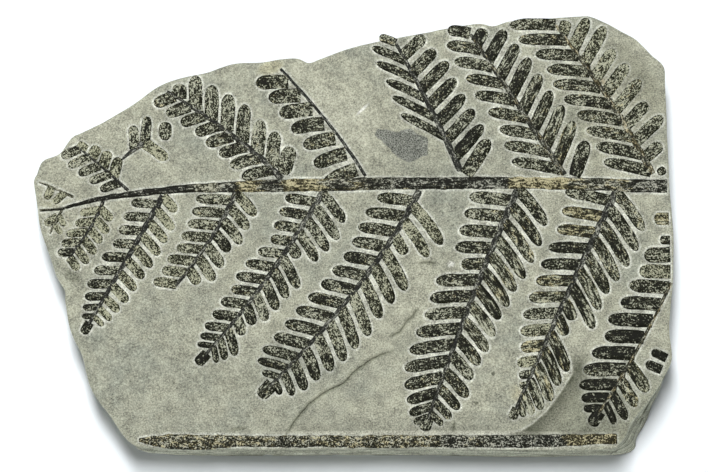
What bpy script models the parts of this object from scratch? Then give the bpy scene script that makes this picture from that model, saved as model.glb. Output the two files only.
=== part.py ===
"""Fossil fern plate: a slab of grey-green shale with a carbonised fern frond lying on its split face.

The frond's main rachis crosses the slab from left to right. Its pinnae stand above and below it, each a
thin rachis with two rows of strap-shaped pinnules. A second stem lies along the slab's lower edge, and a
few loose pinnules lie beside the frond. Every piece of plant is a thin flat film on the slab's top face.

The slab lies on its back: +Z is up out of the fossil face, +X runs along the main rachis to its thick
end, and the origin is the middle of the slab's underside.
"""

from dataclasses import dataclass
from math import cos, radians, sin

import bmesh
import bpy
import numpy as np
from mathutils import Vector

MM = 0.001

# Driving dimensions, in millimetres and degrees.
SLAB_THICKNESS = 18.0
FILM_THICKNESS = 0.6  # the carbonised plant
STEM_THICKNESS = 0.9  # the main rachis and the stem along the edge
CONTACT_GAP = 0.3  # between the slab's face and what lies on it
FOOT_SHARE = 0.42  # a pinnule's foot takes this share of its spacing, each side of its middle
RACHIS_END = 0.15  # a pinnule's foot stays this far inside the ends of its rachis
SAME_POINT = 0.05  # outline points closer than this are one point

# The slab's upper rim, clockwise from its left corner: x, y and how far the foot stands out below it.
SLAB_RIM = (
    (-99.7, 15.7, -1.6), (-99.3, 17.8, -1.6), (-98.0, 21.0, -1.4), (-96.5, 22.6, -1.2),
    (-92.3, 24.7, -1.0), (-88.2, 29.4, -1.2), (-85.6, 31.2, -1.4), (-79.4, 34.2, -1.8),
    (-73.2, 37.5, -2.0), (-69.0, 40.7, -1.6), (-60.8, 46.1, -1.2), (-53.6, 48.9, -1.0),
    (-46.2, 50.7, -1.0), (-38.0, 53.0, -1.2), (-29.2, 54.0, -1.6), (-22.8, 54.9, -1.4),
    (-17.7, 54.9, -1.2), (-14.5, 53.9, -1.0), (-12.2, 53.8, -1.0), (-10.4, 54.9, -1.2),
    (-0.6, 58.6, -1.6), (9.3, 60.7, -1.8), (22.8, 63.6, -1.6), (29.0, 64.6, -1.2),
    (39.3, 66.2, -1.0), (44.0, 65.7, -1.0), (50.3, 67.0, -1.2), (62.7, 68.3, -1.4),
    (71.0, 68.8, -1.4), (74.6, 68.5, -1.2), (80.3, 66.5, -1.0), (84.5, 63.6, -1.2),
    (89.1, 61.0, -1.4), (93.8, 56.5, -1.6), (97.4, 52.4, -1.4), (98.2, 46.0, -1.0),
    (98.4, 31.0, -1.2), (98.7, 15.3, -1.4), (99.4, 9.9, -1.2), (99.7, -2.0, -1.0),
    (99.7, -14.2, -1.2), (98.2, -30.4, -1.2), (98.5, -40.3, -0.8), (96.2, -46.5, 0.4),
    (93.8, -49.8, 1.8), (89.5, -55.6, 4.0), (85.8, -60.2, 5.4), (84.1, -63.8, 5.2),
    (82.0, -67.0, 1.6), (78.5, -68.4, 0.2), (55.5, -68.5, 0.3), (11.3, -68.4, 0.2),
    (-19.8, -68.3, 0.2), (-51.4, -68.2, 0.2), (-64.0, -68.0, -0.4), (-69.2, -66.0, -1.8),
    (-75.2, -58.8, -2.2), (-80.4, -51.4, -2.0), (-82.5, -45.7, -1.8), (-84.5, -39.3, -1.8),
    (-87.7, -31.4, -2.0), (-89.8, -22.8, -1.8), (-90.0, -19.0, -1.6), (-92.3, -14.3, -1.6),
    (-94.9, -7.9, -1.8), (-97.5, 0.4, -1.8), (-98.8, 8.3, -1.6),
)

# The slab's broken side from its top down: share of the height, and how far that layer is set back.
SIDE_LAYERS = (
    (1.0, 0.5), (0.97, 0.0), (0.80, 0.15), (0.78, 0.7), (0.55, 0.3), (0.53, -0.1), (0.30, 0.35),
    (0.28, 0.9), (0.0, 1.0),
)

CHIP_DEPTH = 0.25  # of the small flakes broken from the side's layers

# Stems as knots along their middle line: x, y and width.
MAIN_RACHIS = (
    (-98.2, 6.6, 1.2), (-91.1, 7.2, 1.3), (-82.3, 9.5, 1.5), (-69.8, 11.6, 2.0), (-51.1, 13.5, 2.8),
    (-35.5, 14.1, 3.7), (-7.3, 14.7, 4.2), (20.8, 15.1, 4.0), (64.5, 15.1, 4.0), (98.3, 14.1, 4.4),
)
EDGE_STEM = (
    (-66.4, -65.8, 1.4), (-62.6, -66.0, 3.0), (-32.3, -66.1, 3.6), (30.2, -66.1, 3.9),
    (58.3, -66.0, 4.0), (81.6, -65.4, 3.2),
)

# Directions from the middle of the leaflet at a pinna's tip to its outline, from the way it points.
BUD_ANGLES = (112, 75, 38, 0, -38, -75, -112)

# A pinnule's half width as a share of its width, against the share of its length.
PINNULE_PROFILE = ((0.66, 0.50), (1.0, 0.21))


@dataclass(frozen=True)
class Row:
    """A row of pinnules down one side of a pinna.

    Args:
        first: distance of the first pinnule from the pinna's foot.
        last: distance of the last pinnule from the pinna's foot.
        headings: the directions in which the first and last pinnules point.
        width: width of a full pinnule.
        lengths: length of each pinnule in turn.
        bend: how far a pinnule turns between its foot and its tip.
    """

    first: float
    last: float
    headings: tuple
    width: float
    lengths: tuple
    bend: float = 0.0


@dataclass(frozen=True)
class Pinna:
    """One pinna of the frond: a rachis from foot through middle to tip, with up to two rows.

    Args:
        name: node name.
        path: foot, middle and tip of its rachis.
        stem: width of its rachis at the foot and at the tip.
        left: the row on the left of a walker from foot to tip.
        right: the row on the walker's right.
        bud: radius of the rounded leaflet that ends it, or 0 where the tip is broken off.
    """

    name: str
    path: tuple
    stem: tuple
    left: Row | None = None
    right: Row | None = None
    bud: float = 0.0


@dataclass(frozen=True)
class Pinnule:
    """A loose pinnule: where its foot lies, its heading, length, width and bend."""

    name: str
    foot: tuple
    heading: float
    length: float
    width: float
    bend: float = 0.0


PINNAE = (
    Pinna(
        "pinna_upper_1", ((-88.6, 11.2), (-94.0, 13.8), (-98.6, 15.6)), (0.8, 0.6),
        left=Row(2.0, 6.4, (223, 244), 2.6, (4.8, 4.4)),
    ),
    Pinna(
        "pinna_upper_2", ((-71.4, 13.6), (-79.2, 20.7), (-87.0, 27.0)), (1.0, 0.6),
        left=Row(2.4, 19.0, (201, 204), 2.9, (6.6, 7.0, 7.4, 7.6, 6.4), 10),
        right=Row(5.3, 18.8, (75, 60), 3.6, (6.5, 5.6, 4.4, 2.6)),
    ),
    Pinna(
        "pinna_upper_3", ((-23.2, 17.4), (-36.1, 29.0), (-58.6, 44.6)), (1.9, 0.8),
        left=Row(3.1, 42.0, (195, 202), 3.7, (10.2, 9.9, 9.1, 9.0, 7.8, 7.9, 8.0, 7.2), 14),
        right=Row(3.8, 39.0, (84, 92), 3.9, (11.6, 11.2, 12.4, 12.1, 11.4, 9.8, 5.0)),
    ),
    Pinna(
        "pinna_upper_4", ((3.2, 18.4), (-8.3, 34.8), (-23.0, 51.8)), (1.7, 1.2),
        left=Row(4.0, 37.4, (192, 184), 4.2, (12.0, 11.9, 11.5, 11.7, 11.7, 11.3, 11.4), 14),
    ),
    Pinna(
        "pinna_upper_5", ((33.0, 20.2), (23.9, 39.7), (13.4, 60.0)), (2.0, 1.0),
        left=Row(10.6, 42.6, (152, 158), 2.9, (15.6, 14.6, 12.9, 12.7, 10.7, 4.6), 8),
        right=Row(3.6, 39.8, (49, 44), 4.2, (13.8, 13.2, 12.4, 12.2, 12.4, 10.4, 9.4), 4),
    ),
    Pinna(
        "pinna_upper_6", ((65.4, 18.8), (51.9, 39.9), (36.9, 63.0)), (1.9, 1.0),
        left=Row(0.7, 51.0, (170, 171), 3.8, (14.2, 13.0, 13.0, 12.4, 13.0, 12.2, 12.4, 11.2, 7.4), 10),
        right=Row(3.3, 49.2, (68, 60), 4.2, (14.6, 14.3, 13.4, 13.3, 13.2, 12.1, 11.2, 5.2), 4),
    ),
    Pinna(
        "pinna_upper_7", ((93.2, 19.2), (80.3, 41.8), (63.8, 66.0)), (1.9, 1.0),
        left=Row(
            -0.4, 54.4, (168, 181), 3.9,
            (14.8, 13.4, 13.4, 13.2, 14.0, 13.6, 12.8, 12.2, 12.8, 13.0), 8,
        ),
        right=Row(4.5, 52.0, (40, 68), 4.2, (7.2, 12.2, 10.2, 12.6, 12.1, 11.4, 12.3, 9.3, 4.4), 4),
    ),
    Pinna(
        "pinna_lower_1", ((-91.6, 5.8), (-93.2, 2.9), (-94.8, -0.9)), (0.8, 0.6),
        left=Row(1.0, 4.4, (300, 312), 2.0, (4.0, 3.9)),
        right=Row(1.6, 1.6, (210,), 3.0, (4.8,)),
    ),
    Pinna(
        "pinna_lower_2", ((-78.6, 8.6), (-82.6, 0.4), (-89.4, -9.4)), (1.1, 0.7),
        left=Row(1.6, 19.8, (313, 304), 3.0, (5.3, 6.1, 5.8, 6.3, 6.1, 5.0), -8),
        right=Row(2.2, 17.8, (190, 183), 2.9, (6.3, 6.0, 6.8, 6.1, 5.0), 8),
    ),
    Pinna(
        "pinna_lower_3", ((-60.2, 10.2), (-70.5, -8.5), (-82.8, -30.2)), (1.9, 1.0),
        left=Row(
            -1.0, 42.6, (309, 315), 3.3, (6.6, 8.8, 8.8, 8.8, 8.6, 8.0, 7.7, 7.3, 6.4, 5.7, 4.4), -12,
        ),
        right=Row(2.2, 42.6, (176, 182), 3.2, (8.4, 8.5, 7.6, 7.0, 8.1, 8.1, 7.8, 6.3, 5.0, 3.6), 10),
        bud=1.6,
    ),
    Pinna(
        "pinna_lower_4", ((-37.2, 11.4), (-45.2, -3.4), (-56.1, -18.1)), (1.7, 0.9),
        left=Row(-0.6, 27.6, (311, 302), 3.7, (9.6, 9.4, 9.8, 7.6, 8.6, 9.0, 5.6), -14),
        right=Row(2.0, 33.6, (177, 173), 3.4, (11.4, 10.6, 9.8, 9.4, 8.4, 8.6, 7.6, 7.4), 8),
    ),
    Pinna(
        "pinna_lower_5", ((-10.2, 11.4), (-27.4, -15.6), (-46.6, -39.8)), (1.9, 0.9),
        left=Row(
            -0.6, 58.4, (307, 281), 3.6,
            (11.6, 13.0, 12.2, 11.0, 5.0, 11.2, 10.1, 9.8, 9.2, 6.4, 5.8, 8.8, 7.0, 5.4), -12,
        ),
        right=Row(
            2.8, 58.4, (171, 173), 3.4,
            (10.0, 9.3, 8.4, 6.8, 8.1, 9.2, 9.4, 8.0, 8.3, 7.9, 7.4, 6.2, 5.0), 8,
        ),
        bud=1.8,
    ),
    Pinna(
        "pinna_lower_6", ((20.2, 11.8), (1.1, -18.0), (-26.6, -49.6)), (2.0, 1.0),
        left=Row(
            4.0, 74.4, (306, 292), 3.9,
            (15.8, 14.0, 7.0, 13.6, 12.4, 12.4, 13.0, 12.7, 12.4, 11.6, 10.5, 9.7, 7.9, 4.6), -14,
        ),
        right=Row(
            2.8, 73.0, (174, 164), 3.9,
            (11.6, 12.6, 12.0, 10.9, 10.4, 10.7, 10.9, 11.4, 11.7, 11.5, 11.2, 11.2, 9.6, 5.4), 10,
        ),
        bud=2.2,
    ),
    Pinna(
        "pinna_lower_7", ((50.9, 12.2), (37.4, -20.2), (22.8, -59.9)), (2.1, 1.0),
        left=Row(
            -1.2, 74.6, (300, 314), 3.9,
            (14.6, 16.0, 16.0, 15.6, 14.2, 13.8, 12.4, 12.7, 12.2, 11.0, 10.2, 10.8, 9.3, 7.5, 5.5), -16,
        ),
        right=Row(
            3.0, 74.8, (174, 200), 4.1,
            (13.6, 13.0, 12.4, 11.6, 7.6, 13.6, 13.5, 13.2, 14.0, 14.2, 14.0, 12.2, 9.8, 7.6, 5.0), 8,
        ),
        bud=1.9,
    ),
    Pinna(
        "pinna_lower_8", ((81.6, 11.4), (66.4, -20.6), (50.0, -57.0)), (2.1, 1.0),
        left=Row(
            -1.0, 72.4, (300, 290), 3.9,
            (14.2, 16.2, 16.0, 14.8, 14.0, 12.8, 13.2, 6.6, 5.8, 12.7, 11.8, 12.0, 9.9, 7.6, 4.6), -16,
        ),
        right=Row(
            3.0, 66.0, (172, 192), 3.8,
            (14.2, 12.7, 12.3, 12.6, 12.6, 11.8, 11.7, 11.2, 9.8, 7.4, 6.4, 4.0, 2.4), 8,
        ),
        bud=1.5,
    ),
    Pinna(
        "pinna_lower_9", ((98.6, -17.4), (88.0, -37.8), (75.4, -58.4)), (1.6, 1.0),
        left=Row(28.0, 42.2, (303, 293), 4.2, (10.4, 9.9, 9.6, 7.2), -10),
        right=Row(0.6, 44.0, (176, 182), 3.9, (11.6, 11.9, 12.8, 11.7, 12.8, 13.0, 11.5, 8.4, 5.8), 6),
        bud=2.0,
    ),
    Pinna(
        "pinna_fragment", ((-71.6, 23.6), (-69.2, 25.4), (-66.2, 27.0)), (1.0, 1.4),
        left=Row(3.4, 5.6, (94, 70), 3.0, (8.4, 9.4)),
        right=Row(5.0, 5.0, (336,), 3.0, (9.4,)),
    ),
)

LOOSE_PINNULES = (
    Pinnule("loose_pinnule_1", (-59.2, 28.9), 90, 6.0, 3.3),
    Pinnule("loose_pinnule_2", (-20.4, 18.4), 80, 8.6, 3.8),
    Pinnule("loose_pinnule_3", (35.3, 18.7), 52, 13.2, 3.9),
    Pinnule("loose_pinnule_4", (68.2, 18.9), 62, 11.0, 4.0),
    Pinnule("loose_pinnule_5", (95.2, 18.5), 24, 2.9, 2.8),
    Pinnule("loose_pinnule_6", (98.6, 3.9), 180, 4.6, 4.0),
    Pinnule("loose_pinnule_7", (98.9, -2.9), 180, 3.2, 2.5),
    Pinnule("loose_pinnule_8", (98.9, -7.5), 183, 8.0, 4.0),
    Pinnule("loose_pinnule_9", (98.9, -13.3), 178, 9.5, 3.8),
    Pinnule("loose_pinnule_10", (97.3, -40.2), 154, 5.2, 3.0),
    Pinnule("loose_pinnule_11", (95.7, -43.8), 157, 5.4, 3.2),
)


def srgb(colour):
    """Return a hex colour as linear red, green, blue and alpha."""
    levels = [int(colour[i:i + 2], 16) / 255 for i in (0, 2, 4)]
    linear = [c / 12.92 if c <= 0.04045 else ((c + 0.055) / 1.055) ** 2.4 for c in levels]
    return (*linear, 1.0)


def material(name, colour, roughness):
    """Return a Principled material of the given colour and roughness."""
    made = bpy.data.materials.new(name)
    made.use_nodes = True
    shader = made.node_tree.nodes["Principled BSDF"]
    shader.inputs["Base Color"].default_value = srgb(colour)
    shader.inputs["Roughness"].default_value = roughness
    shader.inputs["Metallic"].default_value = 0.0
    return made


def heading_vector(heading):
    """Return the unit vector of a heading in degrees, anticlockwise from +X."""
    return Vector((cos(radians(heading)), sin(radians(heading))))


def left_of(direction):
    """Return the unit vector on the left of a direction."""
    return Vector((-direction.y, direction.x))


class Rachis:
    """A pinna's rachis: a smooth line through its foot, middle and tip, measured by distance."""

    SAMPLES = 64

    def __init__(self, path):
        foot, middle, tip = (Vector(point) for point in path)
        pull = middle * 2 - (foot + tip) / 2
        shares = np.linspace(0.0, 1.0, self.SAMPLES)
        self.points = [
            foot * (1 - t) ** 2 + pull * 2 * t * (1 - t) + tip * t ** 2 for t in shares
        ]
        steps = [(b - a).length for a, b in zip(self.points, self.points[1:])]
        self.distances = np.concatenate(([0.0], np.cumsum(steps)))
        self.length = float(self.distances[-1])

    def point(self, distance):
        """Return the point at a distance from the foot, which is negative a little before the foot."""
        if distance < 0:
            return self.points[0] + (self.points[1] - self.points[0]).normalized() * distance
        x = np.interp(distance, self.distances, [p.x for p in self.points])
        y = np.interp(distance, self.distances, [p.y for p in self.points])
        return Vector((float(x), float(y)))

    def direction(self, distance):
        """Return the unit direction of travel at a distance from the foot."""
        reach = self.length / self.SAMPLES
        near = max(0.0, min(distance - reach, self.length - 2 * reach))
        return (self.point(near + 2 * reach) - self.point(near)).normalized()


def row_widths(row, closing):
    """Return the width of each pinnule; the last three narrow where the pinna's own tip is there."""
    count = len(row.lengths)
    if not closing:
        return [row.width] * count
    return [row.width * min(1.0, 0.6 + 0.14 * (count - 1 - i)) for i in range(count)]


def row_stations(row, widths):
    """Return each pinnule's distance from the foot, spaced by the widths of neighbours."""
    steps = [0.0] + [(a + b) / 2 for a, b in zip(widths, widths[1:])]
    places = np.cumsum(steps)
    span = max(places[-1], 1.0)
    return [row.first + (row.last - row.first) * float(place) / span for place in places]


def pinnule_edge(foot, heading, bend, length, width, side):
    """Return one long edge of a pinnule from foot to tip, on its left (side 1) or right (side -1)."""
    edge = []
    for along, half in PINNULE_PROFILE:
        middle = foot + heading_vector(heading - bend / 2 * (1 - along)) * length * along
        across = left_of(heading_vector(heading - bend / 2 + bend * along))
        edge.append(middle + across * side * half * width)
    return edge


def row_outline(pinna, row, rachis, side):
    """Return the outline of one row, foot to tip, on the rachis's left (side 1) or right (side -1)."""
    widths = row_widths(row, pinna.bud > 0)
    stations = row_stations(row, widths)
    count = len(stations)
    spacing = (row.last - row.first) / max(count - 1, 1) or row.width
    outline = []
    for i, (station, width, length) in enumerate(zip(stations, widths, row.lengths)):
        share = i / max(count - 1, 1)
        heading = row.headings[0] + (row.headings[-1] - row.headings[0]) * share
        grip = FOOT_SHARE * spacing * width / row.width
        ends = []
        for place in (max(station - grip, RACHIS_END), min(station + grip, rachis.length - RACHIS_END)):
            out = left_of(rachis.direction(place)) * side
            ends.append(rachis.point(place) + out * stem_width(pinna, rachis, place) / 2)
        foot = rachis.point(station)
        near = pinnule_edge(foot, heading, row.bend, length, width, side)
        far = pinnule_edge(foot, heading, row.bend, length, width, -side)
        outline += [ends[0], *near, *reversed(far), ends[1]]
    return outline


def stem_width(pinna, rachis, distance):
    """Return the width of a pinna's rachis at a distance from its foot."""
    share = max(0.0, min(1.0, distance / rachis.length))
    return pinna.stem[0] + (pinna.stem[1] - pinna.stem[0]) * share


def bud_outline(pinna, rachis):
    """Return the outline of the rounded leaflet at a pinna's tip, from its left side to its right."""
    ahead = rachis.direction(rachis.length)
    centre = rachis.points[-1] + ahead * pinna.bud * 0.7
    angles = [radians(a) for a in BUD_ANGLES]
    return [centre + (ahead * cos(a) + left_of(ahead) * sin(a)) * pinna.bud for a in angles]


def distinct(outline):
    """Return a closed outline without the points that lie on the point before them."""
    return [p for p, before in zip(outline, [outline[-1], *outline]) if (p - before).length > SAME_POINT]


def pinna_outline(pinna):
    """Return the closed outline of a pinna: up its left side, round its tip and back down its right."""
    rachis = Rachis(pinna.path)
    foot_across = left_of(rachis.direction(0.0)) * pinna.stem[0] / 2
    tip_across = left_of(rachis.direction(rachis.length)) * pinna.stem[1] / 2
    tip = [rachis.points[-1] + tip_across, rachis.points[-1] - tip_across]
    if pinna.bud:
        tip = bud_outline(pinna, rachis)
    left = row_outline(pinna, pinna.left, rachis, 1) if pinna.left else []
    right = row_outline(pinna, pinna.right, rachis, -1) if pinna.right else []
    foot = [rachis.points[0] - foot_across, rachis.points[0] + foot_across]
    return distinct([*left, *tip, *reversed(right), *foot])


def loose_outline(pinnule):
    """Return the closed outline of a loose pinnule."""
    foot = Vector(pinnule.foot)
    across = left_of(heading_vector(pinnule.heading - pinnule.bend / 2)) * pinnule.width * 0.42
    shape = (foot, pinnule.heading, pinnule.bend, pinnule.length, pinnule.width)
    left = pinnule_edge(*shape, 1)
    right = pinnule_edge(*shape, -1)
    return [foot + across, *left, *reversed(right), foot - across]


def stem_outline(knots):
    """Return the closed outline of a stem from knots along its middle line."""
    above = [Vector((x, y + width / 2)) for x, y, width in knots]
    below = [Vector((x, y - width / 2)) for x, y, width in knots]
    return [*above, *reversed(below)]


def film(name, outline, thickness, finish, collection):
    """Add a flat film on the slab's face: a filled outline extruded to its thickness."""
    curve = bpy.data.curves.new(name, "CURVE")
    curve.dimensions = "2D"
    curve.fill_mode = "BOTH"
    curve.extrude = thickness / 2 * MM
    spline = curve.splines.new("POLY")
    spline.points.add(len(outline) - 1)
    for point, place in zip(spline.points, outline):
        point.co = (place.x * MM, place.y * MM, 0.0, 1.0)
    spline.use_cyclic_u = True
    made = bpy.data.objects.new(name, curve)
    made.location.z = (SLAB_THICKNESS + CONTACT_GAP + thickness / 2) * MM
    curve.materials.append(finish)
    collection.objects.link(made)
    return made


def rim_normals(rim):
    """Return the outward unit normal at each point of a clockwise rim."""
    places = [Vector((x, y)) for x, y, _ in rim]
    normals = []
    for i, _ in enumerate(places):
        ahead = places[(i + 1) % len(places)] - places[i - 1]
        normals.append(left_of(ahead.normalized()))
    return normals


def side_ring(layer):
    """Return the points round the slab's side at one of its layers."""
    height, setback = SIDE_LAYERS[layer]
    places = []
    for i, ((x, y, foot_out), normal) in enumerate(zip(SLAB_RIM, rim_normals(SLAB_RIM))):
        chip = CHIP_DEPTH * sin(2.4 * i + 1.7 * layer) if layer else 0.0
        out = foot_out * (1 - height) - setback + chip
        places.append(Vector((x + normal.x * out, y + normal.y * out, SLAB_THICKNESS * height)) * MM)
    return places


def slab(name, finish, collection):
    """Add the slab: a loft down its broken side, closed by its split face and its underside."""
    shape = bmesh.new()
    rings = [[shape.verts.new(place) for place in side_ring(layer)] for layer, _ in enumerate(SIDE_LAYERS)]
    for upper, lower in zip(rings, rings[1:]):
        for i, _ in enumerate(upper):
            shape.faces.new((upper[i], upper[i - 1], lower[i - 1], lower[i]))
    shape.faces.new(rings[0])
    shape.faces.new(rings[-1])
    bmesh.ops.recalc_face_normals(shape, faces=shape.faces)
    mesh = bpy.data.meshes.new(name)
    shape.to_mesh(mesh)
    shape.free()
    made = bpy.data.objects.new(name, mesh)
    mesh.materials.append(finish)
    collection.objects.link(made)
    return made


def clear_scene():
    """Remove every object of the open file."""
    for old in list(bpy.data.objects):
        bpy.data.objects.remove(old, do_unlink=True)


def main():
    """Build the plate."""
    clear_scene()
    parts = bpy.data.collections.new("fossil_fern_plate")
    bpy.context.scene.collection.children.link(parts)
    shale = material("shale", "A9AC9C", 0.85)
    carbon = material("carbon_film", "2E2E2A", 0.6)
    stem = material("stem_film", "3A3A33", 0.65)
    slab("shale_slab", shale, parts)
    film("main_rachis", stem_outline(MAIN_RACHIS), STEM_THICKNESS, stem, parts)
    film("edge_stem", stem_outline(EDGE_STEM), STEM_THICKNESS, stem, parts)
    for pinna in PINNAE:
        film(pinna.name, pinna_outline(pinna), FILM_THICKNESS, carbon, parts)
    for pinnule in LOOSE_PINNULES:
        film(pinnule.name, loose_outline(pinnule), FILM_THICKNESS, carbon, parts)


main()
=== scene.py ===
"""The fossil fern plate, dressed: a split slab of grey-green shale with a carbonised fern frond on its face.

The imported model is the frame. The slab keeps the outline and the broken side of its solid and gets the relief
of real split stone. Every piece of plant becomes a thin pressed film with its own rounded pinnules, and each
one follows the stone under it. Lengths are millimetres in the frame's axes until a mesh is made.
"""

from __future__ import annotations

import logging
import math
from dataclasses import astuple, dataclass
from enum import Enum

import bpy
import numpy as np
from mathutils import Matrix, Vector
from mathutils.geometry import delaunay_2d_cdt


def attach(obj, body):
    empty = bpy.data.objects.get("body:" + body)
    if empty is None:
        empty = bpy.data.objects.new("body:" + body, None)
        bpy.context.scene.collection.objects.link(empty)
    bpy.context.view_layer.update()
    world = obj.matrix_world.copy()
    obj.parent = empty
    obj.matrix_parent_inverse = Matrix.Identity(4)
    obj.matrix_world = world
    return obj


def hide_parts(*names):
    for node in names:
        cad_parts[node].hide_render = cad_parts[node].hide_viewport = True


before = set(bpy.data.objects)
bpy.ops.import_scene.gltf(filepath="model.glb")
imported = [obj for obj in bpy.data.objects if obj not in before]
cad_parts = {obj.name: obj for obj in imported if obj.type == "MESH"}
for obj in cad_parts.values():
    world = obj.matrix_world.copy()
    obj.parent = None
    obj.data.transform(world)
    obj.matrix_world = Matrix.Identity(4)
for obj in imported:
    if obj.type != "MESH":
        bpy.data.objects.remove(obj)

LOG = logging.getLogger("fossil_fern_plate")
MM = 0.001
Point = tuple[float, float]


def linear(colour: str) -> tuple[float, float, float, float]:
    """Turn an sRGB hex colour into linear red, green, blue and alpha.

    Args:
        colour: six hex digits.

    Returns:
        The four linear levels.
    """
    levels = [int(colour[i:i + 2], 16) / 255 for i in (0, 2, 4)]
    return (*[c / 12.92 if c <= 0.04045 else ((c + 0.055) / 1.055) ** 2.4 for c in levels], 1.0)


def smooth(low: float, high: float, value: np.ndarray) -> np.ndarray:
    """Rise softly from 0 at low to 1 at high.

    Args:
        low: where the rise starts.
        high: where it ends.
        value: the numbers to read it at.

    Returns:
        The height of the rise at each number.
    """
    share = np.clip((value - low) / (high - low), 0.0, 1.0)
    return share * share * (3 - 2 * share)


def add(
    tree: bpy.types.NodeTree,
    kind: str,
    inputs: dict[str | int, object] | None = None,
    settings: dict[str, object] | None = None,
    stops: tuple[tuple[float, str], ...] = (),
) -> bpy.types.Node:
    """Add a node with its settings, its colour stops and what feeds it.

    Args:
        tree: the material's node tree.
        kind: the node's type name.
        inputs: a value or another node's output for each input, by name or number.
        settings: properties of the node.
        stops: places and hex colours along a colour ramp.

    Returns:
        The node.
    """
    node = tree.nodes.new(kind)
    for name, value in (settings or {}).items():
        setattr(node, name, value)
    for i, (place, colour) in enumerate(stops):
        elements = node.color_ramp.elements
        stop = elements[i] if i < len(elements) and i < 2 else elements.new(place)
        stop.position = place
        stop.color = linear(colour)
    for name, value in (inputs or {}).items():
        if isinstance(value, bpy.types.NodeSocket):
            tree.links.new(value, node.inputs[name])
        else:
            node.inputs[name].default_value = value
    return node


def new_material(name: str) -> tuple[bpy.types.Material, bpy.types.NodeTree, bpy.types.Node]:
    """Make a material with an empty Principled shader.

    Args:
        name: the material's name.

    Returns:
        The material, its node tree and its shader.
    """
    material = bpy.data.materials.new(name)
    material.use_nodes = True
    return material, material.node_tree, material.node_tree.nodes["Principled BSDF"]


def deselect() -> None:
    """Deselect everything and leave edit mode."""
    if bpy.context.object and bpy.context.object.mode != "OBJECT":
        bpy.ops.object.mode_set(mode="OBJECT")
    bpy.ops.object.select_all(action="DESELECT")


def blank(name: str, along: int, across: int) -> bpy.types.Object:
    """Model a flat closed blank, 1 long, 2 wide and 1 deep, with a fine top and a plain underside.

    Args:
        name: the object's name.
        along: faces along its length.
        across: faces across its width.

    Returns:
        The blank, with its top at height 0 and its foot at the origin.
    """
    deselect()
    bpy.ops.mesh.primitive_grid_add(x_subdivisions=along, y_subdivisions=across, size=1, location=(0.5, 0, 0))
    piece = bpy.context.object
    piece.name = name
    piece.scale = (1, 2, 1)
    bpy.ops.object.transform_apply(location=True, rotation=False, scale=True)
    bpy.ops.object.mode_set(mode="EDIT")
    bpy.ops.mesh.select_all(action="SELECT")
    bpy.ops.mesh.extrude_region_move(TRANSFORM_OT_translate={"value": (0, 0, -1)})
    bpy.ops.mesh.dissolve_faces(use_verts=False)
    bpy.ops.mesh.select_all(action="SELECT")
    bpy.ops.mesh.normals_make_consistent(inside=False)
    bpy.ops.object.mode_set(mode="OBJECT")
    return piece


def corners(piece: bpy.types.Object) -> np.ndarray:
    """Read a piece's points.

    Args:
        piece: a mesh object.

    Returns:
        One row of x, y and z for each point, in the piece's own units.
    """
    flat = np.empty(len(piece.data.vertices) * 3)
    piece.data.vertices.foreach_get("co", flat)
    return flat.reshape(-1, 3)


def place_corners(piece: bpy.types.Object, places: np.ndarray) -> None:
    """Move a piece's points to places in millimetres.

    Args:
        piece: a mesh object.
        places: one row of x, y and z for each point.
    """
    piece.data.vertices.foreach_set("co", (places * MM).ravel())
    piece.data.update()


def note(piece: bpy.types.Object, name: str, values: np.ndarray | float) -> None:
    """Write a number at every point of a piece, for its material to read.

    Args:
        piece: a mesh object.
        name: the attribute's name.
        values: one number, or one for each point.
    """
    layer = piece.data.attributes.new(name, "FLOAT", "POINT")
    layer.data.foreach_set("value", np.broadcast_to(values, len(piece.data.vertices)).astype(np.float32))


def join(name: str, pieces: list[bpy.types.Object]) -> bpy.types.Object:
    """Join pieces into one object that sits at the origin.

    Args:
        name: the object's name.
        pieces: the pieces, all at the origin.

    Returns:
        The joined object.
    """
    deselect()
    for piece in pieces:
        piece.select_set(True)
    bpy.context.view_layer.objects.active = pieces[0]
    bpy.ops.object.join()
    pieces[0].name = name
    pieces[0].data.name = name
    return pieces[0]


def shade(piece: bpy.types.Object, angle: float) -> None:
    """Shade a piece smooth, with edges sharper than an angle in degrees left crisp.

    Args:
        piece: a mesh object.
        angle: the sharpest edge that is still smoothed.
    """
    deselect()
    piece.select_set(True)
    bpy.context.view_layer.objects.active = piece
    bpy.ops.object.shade_smooth_by_angle(angle=math.radians(angle))


def line_distance(points: np.ndarray, line: np.ndarray, closed: bool) -> tuple[np.ndarray, np.ndarray]:
    """Measure points against a line of straight runs.

    Args:
        points: one row of x and y for each point.
        line: the line's corners.
        closed: whether its end joins its start.

    Returns:
        Each point's distance, positive on the left of a walker along the line, and the share of the line
        walked at the nearest place.
    """
    ends = np.roll(line, -1, axis=0) if closed else line[1:]
    starts = line if closed else line[:-1]
    run = ends - starts
    offset = points[:, None, :] - starts[None, :, :]
    share = np.clip((offset * run).sum(2) / np.maximum((run * run).sum(1), 1e-9), 0.0, 1.0)
    gap = offset - share[:, :, None] * run
    length = np.hypot(gap[:, :, 0], gap[:, :, 1])
    nearest = length.argmin(1)
    rows = np.arange(len(points))
    turn = run[nearest, 0] * offset[rows, nearest, 1] - run[nearest, 1] * offset[rows, nearest, 0]
    side = np.where(turn >= 0, 1.0, -1.0)
    return length[rows, nearest] * side, (nearest + share[rows, nearest]) / len(run)


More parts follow.
